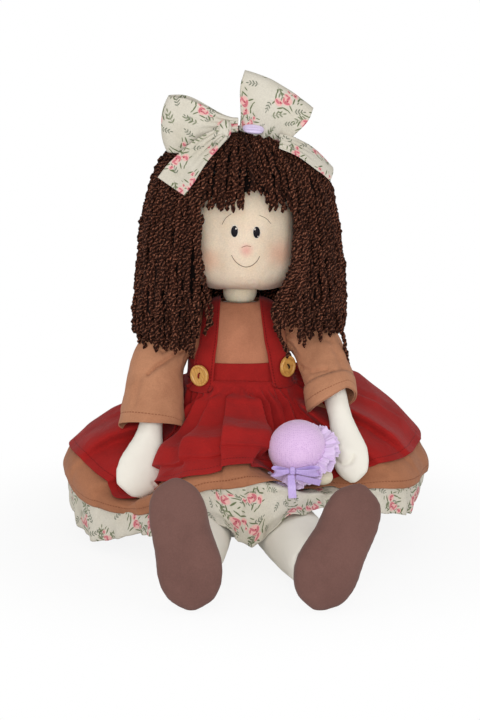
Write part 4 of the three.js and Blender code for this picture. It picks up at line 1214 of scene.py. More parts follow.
@dataclass(frozen=True)
class Button:
    """A turned wooden button with a raised rim and two holes, sewn on with thread."""

    side: Side
    place: Point
    facing: Point
    turn: float
    thread: Thread
    diameter: float = 0.0229
    thickness: float = 0.0036
    rim: float = 0.0024
    dish: float = 0.0011
    hole: float = 0.0024
    spacing: float = 0.0052

    def _disc(self) -> Piece:
        """The turned disc with its rim, dish and holes, lying flat at the origin."""
        bpy.ops.object.select_all(action="DESELECT")
        bpy.ops.mesh.primitive_cylinder_add(
            vertices=72, radius=self.diameter / 2, depth=self.thickness, end_fill_type="NGON"
        )
        disc = bpy.context.object
        disc.name = f"wooden_button_{self.side.word}"
        bpy.ops.object.mode_set(mode="EDIT")
        bpy.ops.mesh.select_mode(type="FACE")
        bpy.ops.mesh.select_all(action="DESELECT")
        form = bmesh.from_edit_mesh(disc.data)
        for face in form.faces:
            face.select = face.normal.z > 0.9
        bmesh.update_edit_mesh(disc.data)
        bpy.ops.mesh.inset(thickness=self.rim, depth=0)
        bpy.ops.mesh.inset(thickness=0.0008, depth=0)
        bpy.ops.transform.translate(value=(0, 0, -self.dish))
        bpy.ops.object.mode_set(mode="OBJECT")
        round_off = disc.modifiers.new("Turned", "BEVEL")
        round_off.width, round_off.segments, round_off.limit_method = 0.0007, 4, "ANGLE"
        round_off.angle_limit = math.radians(25)
        apply_modifiers(disc)
        for offset in (-self.spacing / 2, self.spacing / 2):
            bpy.ops.object.select_all(action="DESELECT")
            bpy.ops.mesh.primitive_cylinder_add(
                vertices=24, radius=self.hole / 2, depth=0.02, location=(offset, 0, 0)
            )
            drill = bpy.context.object
            bpy.ops.object.transform_apply(location=True)
            bored = disc.modifiers.new("Hole", "BOOLEAN")
            bored.operation, bored.object, bored.solver = "DIFFERENCE", drill, "EXACT"
            apply_modifiers(disc)
            bpy.data.objects.remove(drill)
        return disc

    def build(self) -> Piece:
        """Makes the button and its thread in place."""
        disc = self._disc()
        half, top = self.spacing / 2, self.thickness / 2 - self.dish + 0.0006
        across = ((-half, -0.001), (-half * 0.8, top), (0, top + 0.0003), (half * 0.8, top), (half, -0.001))
        stitches = [
            curve_through([(x, offset * (1 if x else 1.5), z) for x, z in across], 24)
            for offset in (-0.00045, 0.00015, 0.0006)
        ]
        thread = rope_object(
            f"button_thread_{self.side.word}", stitches, Section(0.0004, depth=0.15, pitch=0.002), 7
        )
        facing = np.array(Vector((0, 0, 1)).rotation_difference(Vector(self.facing)).to_matrix())
        c, s = math.cos(self.turn), math.sin(self.turn)
        turned = np.array([[c, s, 0], [-s, c, 0], [0, 0, 1]])
        for part in (disc, thread):
            move_points(part, points_of(part) @ turned @ facing.T + np.array(self.place))
        disc.data.shade_smooth()
        finish_piece(disc, Olivewood(), "doll", (f"button_{self.side.word}",))
        bpy.context.view_layer.objects.active = disc
        disc.select_set(True)
        bpy.ops.object.shade_smooth_by_angle(angle=math.radians(40))
        disc.select_set(False)
        finish_piece(thread, self.thread, "doll")
        return disc


# Threads and yarns


@dataclass(frozen=True)
class Section:
    """The section of a thread or a twisted yarn.

    The pitch is the length of one whole twist, and the ends thin over the taper.
    """

    radius: float
    plies: int = 2
    depth: float = 0.0
    pitch: float = 0.01
    taper: float = 0.0

    def lobes(self, along: Array, angle: Array) -> Array:
        """1 on a ply's crest and -1 between two plies."""
        return np.cos(self.plies * (angle - 2 * math.pi * along / self.pitch))

    def reach(self, along: Array, angle: Array, length: float) -> Array:
        """The radius at a distance along and an angle round."""
        end = np.minimum(along, length - along)
        thin = np.sqrt(np.clip(end / self.taper, 0.06, 1)) if self.taper else 1.0
        return self.radius * thin * (1 + self.depth * self.lobes(along, angle))


def tube_points(line: Array, section: Section, sides: int) -> tuple[Array, Array, Array]:
    """Points round a line.

    Args:
        line: The points along the middle.
        section: The section that it has.
        sides: Points in each ring.

    Returns:
        The points, ring by ring, the faces between the rings, and each point's place on its ply.
    """
    ways = directions(line)
    side = np.cross(ways[0], (0.31, 0.17, 0.93))
    kept = []
    for way in ways:
        side = side - way * side.dot(way)
        side = side / max(float(np.linalg.norm(side)), 1e-9)
        kept.append(side)
    wide = np.array(kept)
    deep = np.cross(ways, wide)
    angles = turns(sides)[None]
    along = lengths_along(line)[:, None]
    reach = section.reach(along, angles, float(along[-1, 0]))
    ring = wide[:, None] * np.cos(angles)[..., None] + deep[:, None] * np.sin(angles)[..., None]
    points = (line[:, None] + ring * reach[:, :, None]).reshape(-1, 3)
    i, k = np.meshgrid(np.arange(len(line) - 1), np.arange(sides), indexing="ij")
    n = (k + 1) % sides
    walls = np.stack(
        [i * sides + k, i * sides + n, (i + 1) * sides + n, (i + 1) * sides + k], axis=2
    ).reshape(-1, 4)
    return points, walls, (0.5 + 0.5 * section.lobes(along, angles)).ravel()


def rope_object(
    name: str, lines: Sequence[Array], section: Section, sides: int, tones: Sequence[float] = ()
) -> Piece:
    """Many threads or yarns as one mesh, each closed at both ends.

    Args:
        name: The piece's name.
        lines: The points along the middle of each.
        section: The section that they share.
        sides: Points in each ring.
        tones: How light each one is, from 0 to 1.

    Returns:
        The new object, which keeps each point's ply crest and tone.
    """
    points, faces, crests, tone = [], [], [], []
    count = 0
    for number, line in enumerate(lines):
        ring_points, walls, crest = tube_points(line, section, sides)
        points.append(ring_points)
        faces.extend((walls + count).tolist())
        faces.append(list(range(count + sides - 1, count - 1, -1)))
        end = count + len(ring_points)
        faces.append(list(range(end - sides, end)))
        crests.append(crest)
        tone.append(np.full(len(ring_points), tones[number] if len(tones) else 0.5))
        count = end
    values = {"crest": np.concatenate(crests), "tone": np.concatenate(tone)}
    return mesh_object(name, np.concatenate(points), faces, None, values)


# Skirts


@dataclass(frozen=True)
class Fold:
    """One ridge, or a furrow if its height is negative, that runs down the skirts.

    Its angle and width are in degrees round from the doll's left, the rest in metres. A crease is how much
    steeper one flank is than the other, and its sign says which.
    """

    angle: float
    width: float
    height: float
    start: float
    end: float
    lean: float = 0.0
    crease: float = 1.0

    def rise(self, degrees: Array, drops: Array) -> Array:
        """The fold's own height at each place."""
        centre = self.angle + self.lean * (drops - self.start)
        away = (degrees - centre + 180) % 360 - 180
        steep = away > 0 if self.crease > 0 else away < 0
        width = np.where(steep, self.width / abs(self.crease), self.width)
        span = smooth_step(drops, self.start, self.start + 0.02) * (
            1 - smooth_step(drops, self.end - 0.03, self.end)
        )
        return self.height * span * np.exp(-((away / width) ** 2))


@dataclass(frozen=True)
class Overhang:
    """A stretch where the skirt puffs out and sags over itself, at a distance up from the hem."""

    angle: float
    reach: float
    up: float
    height: float
    slope: float = 0.0

    def shape(self, degrees: Array, ups: Array) -> tuple[Array, Array]:
        """How far each place stands out and how far it hangs down."""
        away = (degrees - self.angle + 180) % 360 - 180
        side = self.height * (1 - smooth_step(np.abs(away), 0.5 * self.reach, self.reach))
        below = self.up + self.slope * away - ups
        lip = 1 - smooth_step(below, 0.0, 0.005)
        puff = smooth_step(below, -0.055, -0.006) * lip
        return side * puff + 0.15 * side, 0.8 * side * smooth_step(below, -0.02, -0.001) * lip


@dataclass(frozen=True)
class Draping:
    """The gathers and folds that all three skirts share."""

    gathers: int = 34
    gather_height: float = 0.0024
    fold_height: float = 0.0042
    followed: float = 1.0
    folds: tuple[Fold, ...] = ()
    overhangs: tuple[Overhang, ...] = ()

    def lift(
        self, angles: Array, drops: Array, ups: Array
    ) -> tuple[Array, Array, Array]:
        """How far the cloth stands out, leans and sags, by angle and distance down from the waist."""
        ring = np.stack([np.cos(angles), np.sin(angles)], axis=-1)
        place = np.concatenate([ring * 3.4, drops[..., None] * 5], axis=-1)
        broad = noise_at(place, 1.0, 7.3)
        fine = noise_at(np.concatenate([ring * 7.5, drops[..., None] * 9], axis=-1), 1.0, 3.1)
        wander = 1.5 * noise_at(np.concatenate([ring * 2.2, drops[..., None] * 3], axis=-1), 1.0, 1.7)
        gathered = 1.2 - 1.4 * np.abs(np.sin(0.5 * self.gathers * angles + 3 * wander)) ** 1.5
        near = smooth_step(drops, 0.001, 0.01) * (1 - smooth_step(drops, 0.02, 0.1))
        rise = self.gather_height * gathered * near
        rise += self.fold_height * smooth_step(drops, 0.012, 0.09) * (broad + 0.45 * fine)
        degrees = np.degrees(angles)
        lean, sag = np.zeros_like(rise), np.zeros_like(rise)
        for fold in self.folds:
            ridge = self.followed * fold.rise(degrees, drops) * (0.35 + 0.65 * smooth_step(ups, 0.0, 0.035))
            rise += ridge
            lean += 0.9 * math.copysign(self.followed**2, fold.crease) * ridge
        for overhang in self.overhangs:
            out, down = overhang.shape(degrees, ups)
            rise += out
            sag += down
        return rise, lean, sag


@dataclass(frozen=True)
class Skirt:
    """One gathered layer of the skirts, laid over its CAD shell with fine gathers and folds."""

    name: str
    node: str
    finish: Cotton
    draping: Draping
    rests_on: tuple[str, ...]
    centre: Point = (0.0, 0.0, 0.05)
    columns: int = 460
    rows: int = 96
    thickness: float = 0.001
    ruffle: float = 0.0
    loft: float = 0.0
    view: View = View()
    hem: tuple[tuple[float, float], ...] = ()
    letdown: float = 0.03
    over: BVHTree | None = None
    clearance: float = 0.003
    tucked_in: float = 0.0035
    drawn_left: float = 0.013
    drawn_right: float = 0.008
    climbs: tuple[float, float, int] = (84.0, -32.0, 190)
    area_share: float = 0.75

    def _hem_change(self, line: Array, angle: float) -> tuple[Array, float]:
        """A column with its letdown added, and how much longer it gets to reach the hem in the photograph."""
        way = line[-1] - line[-6]
        way = unit(0.6 * way / np.linalg.norm(way) - np.array((0, 0, 0.4)))
        added = [self._clear(line[-1] + way * step) for step in np.linspace(0, self.letdown, 20)[1:]]
        long = np.concatenate([line, added])
        along = lengths_along(long)
        own = along[len(line) - 1]
        u, v = self.view.pixels(long)
        past = (v > np.interp(u, *zip(*self.hem))) & (along > own - 1.2 * self.letdown)
        end = along[int(np.argmax(past))] if past.any() else along[-1]
        return long, (end - own) * smooth_step(-math.sin(angle), 0.12, 0.45)

    def _clear(self, point: Array) -> Array:
        """The point, moved out of what the skirt lies over."""
        if self.over is None:
            return point
        place, normal, _, away = self.over.find_nearest(Vector(point))
        if (Vector(point) - place).dot(normal) > 0 and away > self.clearance:
            return point
        return np.array(place + normal * self.clearance)

    def _draw_in(self, grid: Array) -> None:
        """Draws the skirt in above its sides' hems, where the arms and the pinafore weigh it down."""
        out = np.abs(grid[:, :, 0])
        pull = np.where(grid[:, :, 0] > 0, self.drawn_left, self.drawn_right)
        pull = pull * smooth_step(out, 0.1, 0.19) * smooth_step(grid[:, :, 2], 0.07, 0.1)
        grid[:, :, 0] -= np.sign(grid[:, :, 0]) * pull

    def angles(self) -> Array:
        """The columns' directions, closer together in front."""
        even = turns(self.columns)
        return even - 0.4 * np.cos(even)

    def surface(self, tree: BVHTree) -> tuple[Array, Array]:
        """The layer's outer surface from waist to hem, and the distance of each row down from the waist."""
        angles = self.angles()
        climbs = np.radians(np.linspace(*self.climbs))
        ways = np.stack(
            [np.cos(climbs)[:, None] * np.cos(angles), np.cos(climbs)[:, None] * np.sin(angles),
             np.broadcast_to(np.sin(climbs)[:, None], (len(climbs), len(angles)))], axis=2,
        )
        middle = np.array(self.centre)
        hits = cast(tree, middle + ways * 0.4, middle + ways * 0.01)
        lines = [hits[:, k][np.isfinite(hits[:, k, 0])] for k in range(self.columns)]
        longer, changes = zip(*(self._hem_change(line, float(angle)) for line, angle in zip(lines, angles)))
        changes = soften(np.array(changes)[None, :, None], 7.0, 0.0)[0, :, 0]
        columns = []
        for line, long, change in zip(lines, longer, changes):
            keep = lengths_along(long) <= lengths_along(line)[-1] + change + 1e-6
            columns.append(evenly(long[keep], self.rows))
        grid = soften(np.stack(columns, axis=1), 4.0, 0.8)
        drops = np.concatenate(
            [np.zeros((1, self.columns)), np.cumsum(np.linalg.norm(np.diff(grid, axis=0), axis=2), axis=0)]
        )
        return grid, drops

    def build(self, tree: BVHTree) -> Piece:
        """Makes the skirt from the CAD shell's faces."""
        grid, drops = self.surface(tree)
        angles = np.broadcast_to(self.angles(), drops.shape)
        normals = soften(normals_from(grid, np.array(self.centre)), 3.0, 2.0)
        up = drops[-1:] - drops
        rise, lean, sag = self.draping.lift(angles, drops, up)
        near_hem = 1 - smooth_step(up, 0.0, 0.028)
        wave = (
            np.sin(31 * angles + 3 * np.sin(2.3 * angles))
            + 0.6 * np.sin(53 * angles + 2 * np.sin(5 * angles))
        )
        rise = rise + self.loft + self.ruffle * near_hem * (0.4 + wave)
        round_way = np.stack([-np.sin(angles), np.cos(angles), np.zeros_like(angles)], axis=2)
        grid = grid + normals * rise[:, :, None] + round_way * lean[:, :, None]
        grid[:, :, 2] -= sag
        self._draw_in(grid)
        grid[0, :, 2] += self.tucked_in
        steps = np.linalg.norm(np.diff(np.concatenate([grid, grid[:, :1]], axis=1), axis=1), axis=2)
        across = np.concatenate([[0], np.cumsum(steps[-12:].mean(axis=0))])
        rise = np.concatenate([up, up[:, :1]], axis=1)
        uv = np.stack([np.broadcast_to(across, rise.shape), rise], axis=2)
        grid[:, :, 2] = np.maximum(grid[:, :, 2], self.thickness + 0.0004)
        piece = sheet_object(self.name, grid, True, self.centre, uv)
        thicken(piece, self.thickness)
        finish_piece(piece, self.finish, "doll", (self.node,))
        return piece


# Sleeves


@dataclass(frozen=True)
class Sleeve:
    """A tan cotton sleeve, set into the blouse's armhole."""

    side: Side
    route: tuple[Point, ...]
    sizes: tuple[tuple[float, float, float], ...]
    seat: float = 0.0566
    longer: float = 0.0
    longer_side: Point = (0.0, -1.0, 0.0)
    creases: tuple[tuple[tuple[tuple[float, float], ...], float, float], ...] = ()
    squareness: float = 2.1
    cuff_from: float = 0.82

    def rings(self, grow: float, rows: int, columns: int) -> Array:
        """The sleeve's rings from shoulder to cuff, in metres."""
        path = curve_through(self.route, rows)
        ways = directions(path)
        angles = turns(columns)
        grid = []
        for share, centre, way in zip(np.linspace(0, 1, rows), path, ways):
            wide = unit(np.array((1, 0, 0.15)) - way * way.dot((1, 0, 0.15)))
            deep = np.cross(way, wide)
            a, b = read_rows(self.sizes, share) + grow
            x, y = outline(angles, a, b, self.squareness)
            grid.append(centre + wide * x[:, None] + deep * y[:, None])
        return np.array(grid) * MM

    def _from_seat(self, grid: Array, rows: int) -> Array:
        """The rings' columns from where they pass the armhole's plane."""
        columns = []
        for k in range(grid.shape[1]):
            line = grid[:, k]
            out = np.abs(line[:, 0])
            first = int(np.argmax(out > self.seat))
            if first:
                share = (self.seat - out[first - 1]) / (out[first] - out[first - 1])
                start = line[first - 1] + share * (line[first] - line[first - 1])
                line = np.concatenate([[start], line[first:]])
            columns.append(evenly(line, rows))
        return np.stack(columns, axis=1)

    def _slanted(self, grid: Array, along: Array) -> Array:
        """The rings, drawn out towards the open end on the side where the sleeve is cut longer."""
        middle = grid.mean(axis=1, keepdims=True)
        out = grid - middle
        side = np.clip(out @ np.array(self.longer_side) / np.linalg.norm(out, axis=2), 0, 1)
        ends = directions(middle[:, 0])[:, None]
        return grid + ends * (side * smooth_step(along, 0.7, 1.0) * self.longer)[:, :, None]

    def build(self, blouse: BVHTree, joint: Point, view: View) -> Piece:
        """Makes the sleeve.

        Args:
            blouse: The blouse's body, which the sleeve's head is sewn to.
            joint: The middle of the shoulder; not used.
            view: The camera's view, in which the creases are given.

        Returns:
            The sleeve, which rides on no body.
        """
        grid = self._from_seat(self.rings(-0.2, 120, 200), 110)
        inner = np.array((self.side.value * 0.026, 0.0, 0.222))
        sewn = cast(blouse, grid[0], np.broadcast_to(inner, grid[0].shape))
        missing = ~np.isfinite(sewn[:, 0])
        sewn[missing] = grid[0][missing] * 0.9 + inner * 0.1
        head = [sewn * (1 - t) + grid[0] * t for t in np.linspace(0, 1, 14, endpoint=False)]
        grid = soften(np.concatenate([head, grid]), 1.2, 2.5)
        normals = normals_from(grid, grid.mean(axis=1, keepdims=True))
        along = np.linspace(0, 1, len(grid))[:, None]
        angles = turns(grid.shape[1])[None]
        head_folds = 0.0009 * np.sin(15 * angles + 2 * np.sin(3 * angles)) * smooth_step(along, 0.0, 0.05)
        head_folds = head_folds * (1 - smooth_step(along, 0.12, 0.42))
        crumple = 0.0016 * noise_at(grid * (0.6, 1, 1), 0.02, 6.0) + 0.0007 * noise_at(grid, 0.009, 2.0)
        calm = smooth_step(along, 0.05, 0.2) * (1 - 0.6 * smooth_step(along, 0.9, 1.0))
        grid = grid + normals * (head_folds + np.minimum(crumple, 0.0012) * calm)[:, :, None]
        grid = self._slanted(grid, along)
        piece = sheet_object(f"tan_sleeve_{self.side.word}", grid, True, None)
        for pixels, width, depth in self.creases:
            tree = tree_of([piece])
            furrow(piece, np.array([view.place_on(tree, *pixel) for pixel in pixels]), width, depth)
        thicken(piece, 0.001)
        finish_piece(piece, SLEEVE, None, (f"sleeve_{self.side.word}",))
        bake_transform(piece)
        return piece

    def cuff(self) -> Piece:
        """The turned-up band round the sleeve's end."""
        rows = 40
        grid = self.rings(2.3, rows, 180)
        grid = self._slanted(grid, np.linspace(0, 1, rows)[:, None])[int(self.cuff_from * rows):]
        normals = normals_from(grid, grid.mean(axis=1, keepdims=True))
        share = np.linspace(-1, 1, len(grid))[:, None]
        rise = 0.0006 * noise_at(grid, 0.014, 8.0) - 0.0008 * np.abs(share) ** 6
        grid = grid + normals * rise[:, :, None]
        piece = thicken(sheet_object(f"turn_up_{self.side.word}_band", grid, True, None), 0.0015)
        finish_piece(piece, SLEEVE, f"arm_{self.side.word}", (f"turn_up_{self.side.word}",))
        return piece


# Head


@dataclass(frozen=True)
class Face:
    """The stitched face: eyes, brows, nose and smile, placed on the head as the camera sees them."""

    view: View
    tree: BVHTree

    def _patch(self, name: str, centre: Point, half: tuple[float, float], dome: float, finish: Finish,
               tilt: float = 0.0) -> Piece:
        """A slightly domed oval patch of satin stitch at a pixel, with half sizes in pixels."""
        rings, sides = 9, 36
        points = []
        for share in np.linspace(0, 1, rings):
            for angle in turns(sides):
                x, y = half[0] * share * math.cos(angle), half[1] * share * math.sin(angle)
                u = centre[0] + x * math.cos(tilt) - y * math.sin(tilt)
                v = centre[1] + x * math.sin(tilt) + y * math.cos(tilt)
                lift = dome * math.sqrt(max(1 - share**2, 0)) + (0.00012 if share < 1 else -0.0004)
                points.append(self.view.place_on(self.tree, u, v, lift))
        grid = np.array(points).reshape(rings, sides, 3)
        piece = sheet_object(name, grid, True, (0.004, 0.0, 0.34))
        return finish_piece(piece, finish, "head")

    def _line(
        self, name: str, pixels: Sequence[tuple[float, float]], radius: float, finish: Finish
    ) -> Piece:
        """A line of stem stitch through pixels."""
        places = [tuple(self.view.place_on(self.tree, u, v, radius * 0.4)) for u, v in pixels]
        line = curve_through(places, 12 * len(places))
        section = Section(radius, depth=0.14, pitch=0.0028, taper=0.001)
        return finish_piece(rope_object(name, [line], section, 8), finish, "head")

    def build(self) -> None:
        """Stitches the face."""
        for word, (u, v) in {"right": (234.5, 231.4), "left": (256.6, 232.4)}.items():
            self._patch(f"eye_rim_{word}", (u, v, 0), (4.2, 6.7), 0.0003, GLINT)
            self._patch(f"eye_{word}", (u, v, 0), (3.75, 6.2), 0.0012, EYE)
        # Painted highlights on the eyes: small white discs
        glints = ((236, 228.6, 1.1), (254.9, 229.2, 1.1), (258, 236.2, 0.7))
        for number, (u, v, size) in enumerate(glints):
            self._patch(f"eye_glint_{number}", (u, v, 0), (size, size), 0.0015, GLINT)
        self._line("brow_right", [(221.8, 224.8), (226, 218), (231.5, 213.6)], 0.00026, LINE)
        self._line("brow_left", [(259.2, 215.2), (266, 218.5), (271.3, 224)], 0.00026, LINE)
        self._line("nose", [(241.4, 247.6), (246.4, 245.9), (251.4, 246.8)], 0.00032, NOSE)
        smile = [
            (231.2, 255), (235.5, 261.5), (241, 265.6), (246.4, 267), (252, 265.4), (257, 261), (259.9, 255.9)
        ]
        self._line("smile", smile, 0.00034, LINE)


# Hair


@dataclass(frozen=True)
class Hair:
    """Hanks of crimped two-ply yarn, sewn along a parting and hanging over a core of more yarn that takes the
    yarn's painted shade all over.

    Heights and sizes are in millimetres: the sections' and the ends' above the line that the head nods about,
    the fringe's above the ground. The loose strands are given as the camera sees them, with their depth.
    """

    yarn: Yarn = field(default_factory=Yarn)
    nod_height: float = 270.0
    centre: tuple[float, float] = (0.0, 6.0)
    sections = (
        (-62, 116, 86), (-20, 117, 88), (20, 114, 88), (60, 110, 86), (100, 103, 82), (130, 93, 76), (148, 80, 67),
        (161, 63, 54), (170, 42, 38), (175, 20, 18),
    )
    starts = ((0.0, 175), (0.18, 174.5), (0.38, 170), (0.55, 161), (0.7, 148), (0.8, 130), (1.0, 96))
    fringe = (
        (-46, 371), (-40, 370), (-15, 365.5), (4, 367), (8, 381), (18, 384), (28, 372), (35, 364), (42, 362.5),
        (56, 366), (64, 366),
    )
    section: Section = Section(0.0021, depth=0.26, pitch=0.0088, taper=0.003)
    step: float = 0.00155
    loose_left = (
        ((272, 312, -63), (279, 335, -62), (284, 346, -62), (286, 358, -63)),
        ((299, 312, -56), (303, 332, -54), (304, 348, -54)),
        ((337, 312, -36), (342, 330, -36), (350, 374, -40), (354, 401, -46)),
    )
    loose_right = (
        ((203, 214, -80), (199, 232, -79), (199, 255, -79), (202, 275, -78), (205, 292, -74)),
        ((205, 285, -64), (209, 300, -62), (212, 314, -62), (210, 328, -62)),
        ((201, 290, -64), (205, 305, -62), (207, 322, -62), (204, 336, -62)),
    )
    left_end: float = -40.0
    right_end: float = -52.0
    rear_end: float = -66.0
    face: tuple[float, float] = (-41.0, 56.0)
    crown: float = 140.0
    stray: float = 0.003
    squareness: float = 2.3
    outer: int = 114
    second: int = 106
    crimp: float = 0.0023
    kink: float = 0.0006
    seed: int = 41

    def _point(self, height: float, angle: float, inset: float) -> Array:
        """A point below the hair's surface, by height above the nod axis, in millimetres."""
        a, b = read_rows(self.sections, height)
        lock = 3.2 * (0.5 - 0.5 * math.cos(12 * angle)) * float(smooth_step(176 - height, 0, 40))
        x, y = outline(np.array([angle]), a - inset - lock, b - inset - lock, self.squareness)
        return np.array([self.centre[0] + x[0], self.centre[1] + y[0], self.nod_height + height])

    def _even_angles(self, count: int) -> Array:
        """Angles that space strands evenly round the hair."""
        fine = np.linspace(0, 2 * math.pi, 721)
        x, y = outline(fine, 110, 86, self.squareness)
        along = np.concatenate([[0], np.cumsum(np.hypot(np.diff(x), np.diff(y)))])
        return np.interp(np.linspace(0, along[-1], count, endpoint=False), along, fine)

    def _hang(
        self, tree: BVHTree, angle: float, rank: float, inset: float, chance: random.Random
    ) -> Array | None:
        """A strand from its start under the surface down to where the hair ends."""
        start = float(np.interp(rank, [s[0] for s in self.starts], [s[1] for s in self.starts]))
        line = []
        drift = chance.uniform(-0.02, 0.02)
        front = self.left_end if math.cos(angle) > 0 else self.right_end
        rear = float(smooth_step(math.sin(angle), -0.1, 0.4))
        low = front + (self.rear_end - front) * rear + chance.uniform(-8, 7)
        short = chance.uniform(-3.5, 3.5)
        outside = 0
        for n, height in enumerate(np.arange(start, low, -2.0)):
            turn = angle + drift * math.sin(height / 37 + angle * 3)
            deep = inset + 5.0 * max(0.0, 1 - n / 7)
            point = self._point(height, turn, deep)
            edge = np.interp(point[0], *zip(*self.fringe)) + short
            if point[1] < -30 and self.face[0] < point[0] < self.face[1] and point[2] < edge:
                break
            spot = Vector(point * MM)
            place, normal, _, away = tree.find_nearest(spot)
            if height < self.crown and (spot - place).dot(normal) > 0 and away > self.stray:
                outside += 1
                if outside > 1:
                    break
            else:
                outside = 0
            line.append(point)
        if len(line) < 12:
            return None
        return evenly(np.array(line) * MM, max(int(2.0 * len(line) * MM / self.step), 10))

    def _crimped(self, line: Array, chance: random.Random, scale: float = 1.0) -> Array:
        """The strand with the small kinks of unravelled yarn."""
        shift = chance.uniform(0, 80)
        length = np.linspace(0, len(line) * self.step, len(line))
        wiggle = np.zeros_like(line)
        for n, (size, high) in enumerate(((0.0048, 0.75), (0.014, 0.8), (0.04, 1.1))):
            for k in range(3):
                wiggle[:, k] += high * np.array(
                    [noise.noise(Vector((s / size, shift + 7.1 * k, 3.3 * n))) for s in length]
                )
        loose = 0.8 + 0.5 * smooth_step(length, 0.0, max(length[-1], 0.05))
        turn = 2 * math.pi * length / self.section.pitch + shift
        kinks = self.kink * np.stack([np.cos(turn), np.sin(turn), 0 * turn], axis=1)
        return line + wiggle * (self.crimp * scale * loose)[:, None] + kinks

    def _strands(self, tree: BVHTree) -> dict[str, list[Array]]:
        """All hanging strands, by the piece that they belong to."""
        chance = random.Random(self.seed)
        names = ("front", "right", "left", "rear_right", "rear_left")
        groups: dict[str, list[Array]] = {name: [] for name in names}
        for count, inset in ((self.outer, 2.4), (self.second, 6.0)):
            for number, angle in enumerate(self._even_angles(count)):
                rank = int(f"{number % 64:06b}"[::-1], 2) / 64
                line = self._hang(tree, float(angle), rank, inset + chance.uniform(-1.5, 1.5), chance)
                if line is None:
                    continue
                end = line[-1]
                if end[2] > 0.33 and end[1] < 0:
                    name = "front"
                elif end[1] > 0.045:
                    name = "rear_right" if end[0] < 0 else "rear_left"
                else:
                    name = "right" if end[0] < 0 else "left"
                groups[name].append(self._crimped(line, chance))
        return groups

    def _edges(self, tree: BVHTree) -> dict[str, list[Array]]:
        """Strands on the curtains' inner edges and behind the neck."""
        chance = random.Random(self.seed + 1)
        found: dict[str, list[Array]] = {"right": [], "left": [], "rear_left": []}
        for name, x in (("right", -46.0), ("left", 63.0)):
            for y in np.arange(-70, 30, 4.6):
                top, low = 385 + chance.uniform(-4, 10), 236 + chance.uniform(-10, 8)
                rows = [
                    (x + chance.uniform(-1.5, 1.5) - math.copysign(7 * max(z - 360, 0) / 30, -x), y, z)
                    for z in np.arange(top, low, -8)
                ]
                inside = []
                for row in rows:
                    spot = Vector(row) * MM
                    place, normal, _, away = tree.find_nearest(spot)
                    if (spot - place).dot(normal) < 0 or away < 0.004:
                        inside.append(tuple(row))
                    elif inside:
                        break
                if len(inside) > 5:
                    line = curve_through(inside, int(8 * len(inside) * MM / self.step)) * MM
                    found[name].append(self._crimped(line, chance))
        for x in np.arange(-40, 57, 4.4):
            rows = [(x, 35 + chance.uniform(-1, 1), z) for z in np.arange(322, 222 + chance.uniform(-8, 6), -8)]
            line = curve_through(rows, int(8 * len(rows) * MM / self.step)) * MM
            found["rear_left"].append(self._crimped(line, chance, 0.8))
        return found

    def _loose(self, view: View) -> dict[str, list[Array]]:
        """Strands that have come loose in front, as the camera sees them."""
        chance = random.Random(self.seed + 3)
        routes = [("left", route) for route in self.loose_left]
        routes += [("right", route) for route in self.loose_right]
        for share in np.linspace(0, 1, 9):
            us = np.array((295, 293, 281, 272, 277)) * (1 - share) + np.array((306, 306, 304, 302, 300)) * share
            vs = np.array((230, 262, 288, 308, 334 - 10 * share + chance.uniform(-5, 5)))
            ys = np.array((-76, -74, -66, -62, -62)) + chance.uniform(-3, 3)
            routes.append(("left", tuple(zip(us, vs, ys))))
        found: dict[str, list[Array]] = {"right": [], "left": []}
        for name, route in routes:
            path = evenly(np.array([view.point(u, v, y * MM) for u, v, y in route]), 24)
            length = float(np.linalg.norm(np.diff(path, axis=0), axis=1).sum())
            line = curve_through([tuple(p) for p in path], int(length / self.step))
            found[name].append(self._crimped(line, chance, 0.7))
        return found

    def build(self, nodes: dict[str, Piece], tree: BVHTree, view: View) -> None:
        """Makes the core and all the strands."""
        names = {
            "cap": "crown", "fringe": "front", "curtain_right": "right", "curtain_left": "left", "back": "rear"
        }
        for node, word in names.items():
            core = take_over(nodes[f"hair_{node}"], f"hair_core_{word}", 0.0045)
            points = points_of(core)
            lowest = np.full(len(points), {"right": 0.23, "left": 0.243, "rear": 0.212}.get(word, 0.0))
            if word == "front":
                lowest = np.interp(points[:, 0] / MM, *zip(*self.fringe)) * MM + 0.011
            points[:, 2] = np.maximum(points[:, 2], lowest)
            move_points(core, points)
            core.data.shade_smooth()
            # Cores hold no crest values, so the yarn paints them all over in its painted shade between the plies
            finish_piece(core, self.yarn, "head", (f"hair_{node}",))
        groups, edges, loose = self._strands(tree), self._edges(tree), self._loose(view)
        chance = random.Random(self.seed + 2)
        for name, lines in groups.items():
            lines = lines + edges.get(name, []) + loose.get(name, [])
            tones = [chance.random() for _ in lines]
            piece = rope_object(f"hair_strands_{name}", lines, self.section, 8, tones)
            finish_piece(piece, self.yarn, "head")


# Bow and ribbons


@dataclass(frozen=True)
class Strip:
    """What ribbons, loops and knots share: their names, the body they ride on and their cloth."""

    name: str
    node: str
    body: str
    finish: Finish

    def _sewn(
        self, grid: Array, along: Array, across: Array, thickness: float, rests_on: Sequence[str] = ()
    ) -> Piece:
        """Makes the strip from its points, in metres.

        Args:
            grid: Rows of points along the strip.
            along: How far along the cloth each row is.
            across: How far across the cloth each column is.
            thickness: The cloth's thickness, in millimetres.
            rests_on: The pieces that the strip lies on; not used.

        Returns:
            The strip.
        """
        uv = np.stack(np.meshgrid(along, across, indexing="ij"), axis=2)
        piece = thicken(sheet_object(self.name, grid, False, None, uv), thickness * MM)
        finish_piece(piece, self.finish, self.body, (self.node,))
        return piece


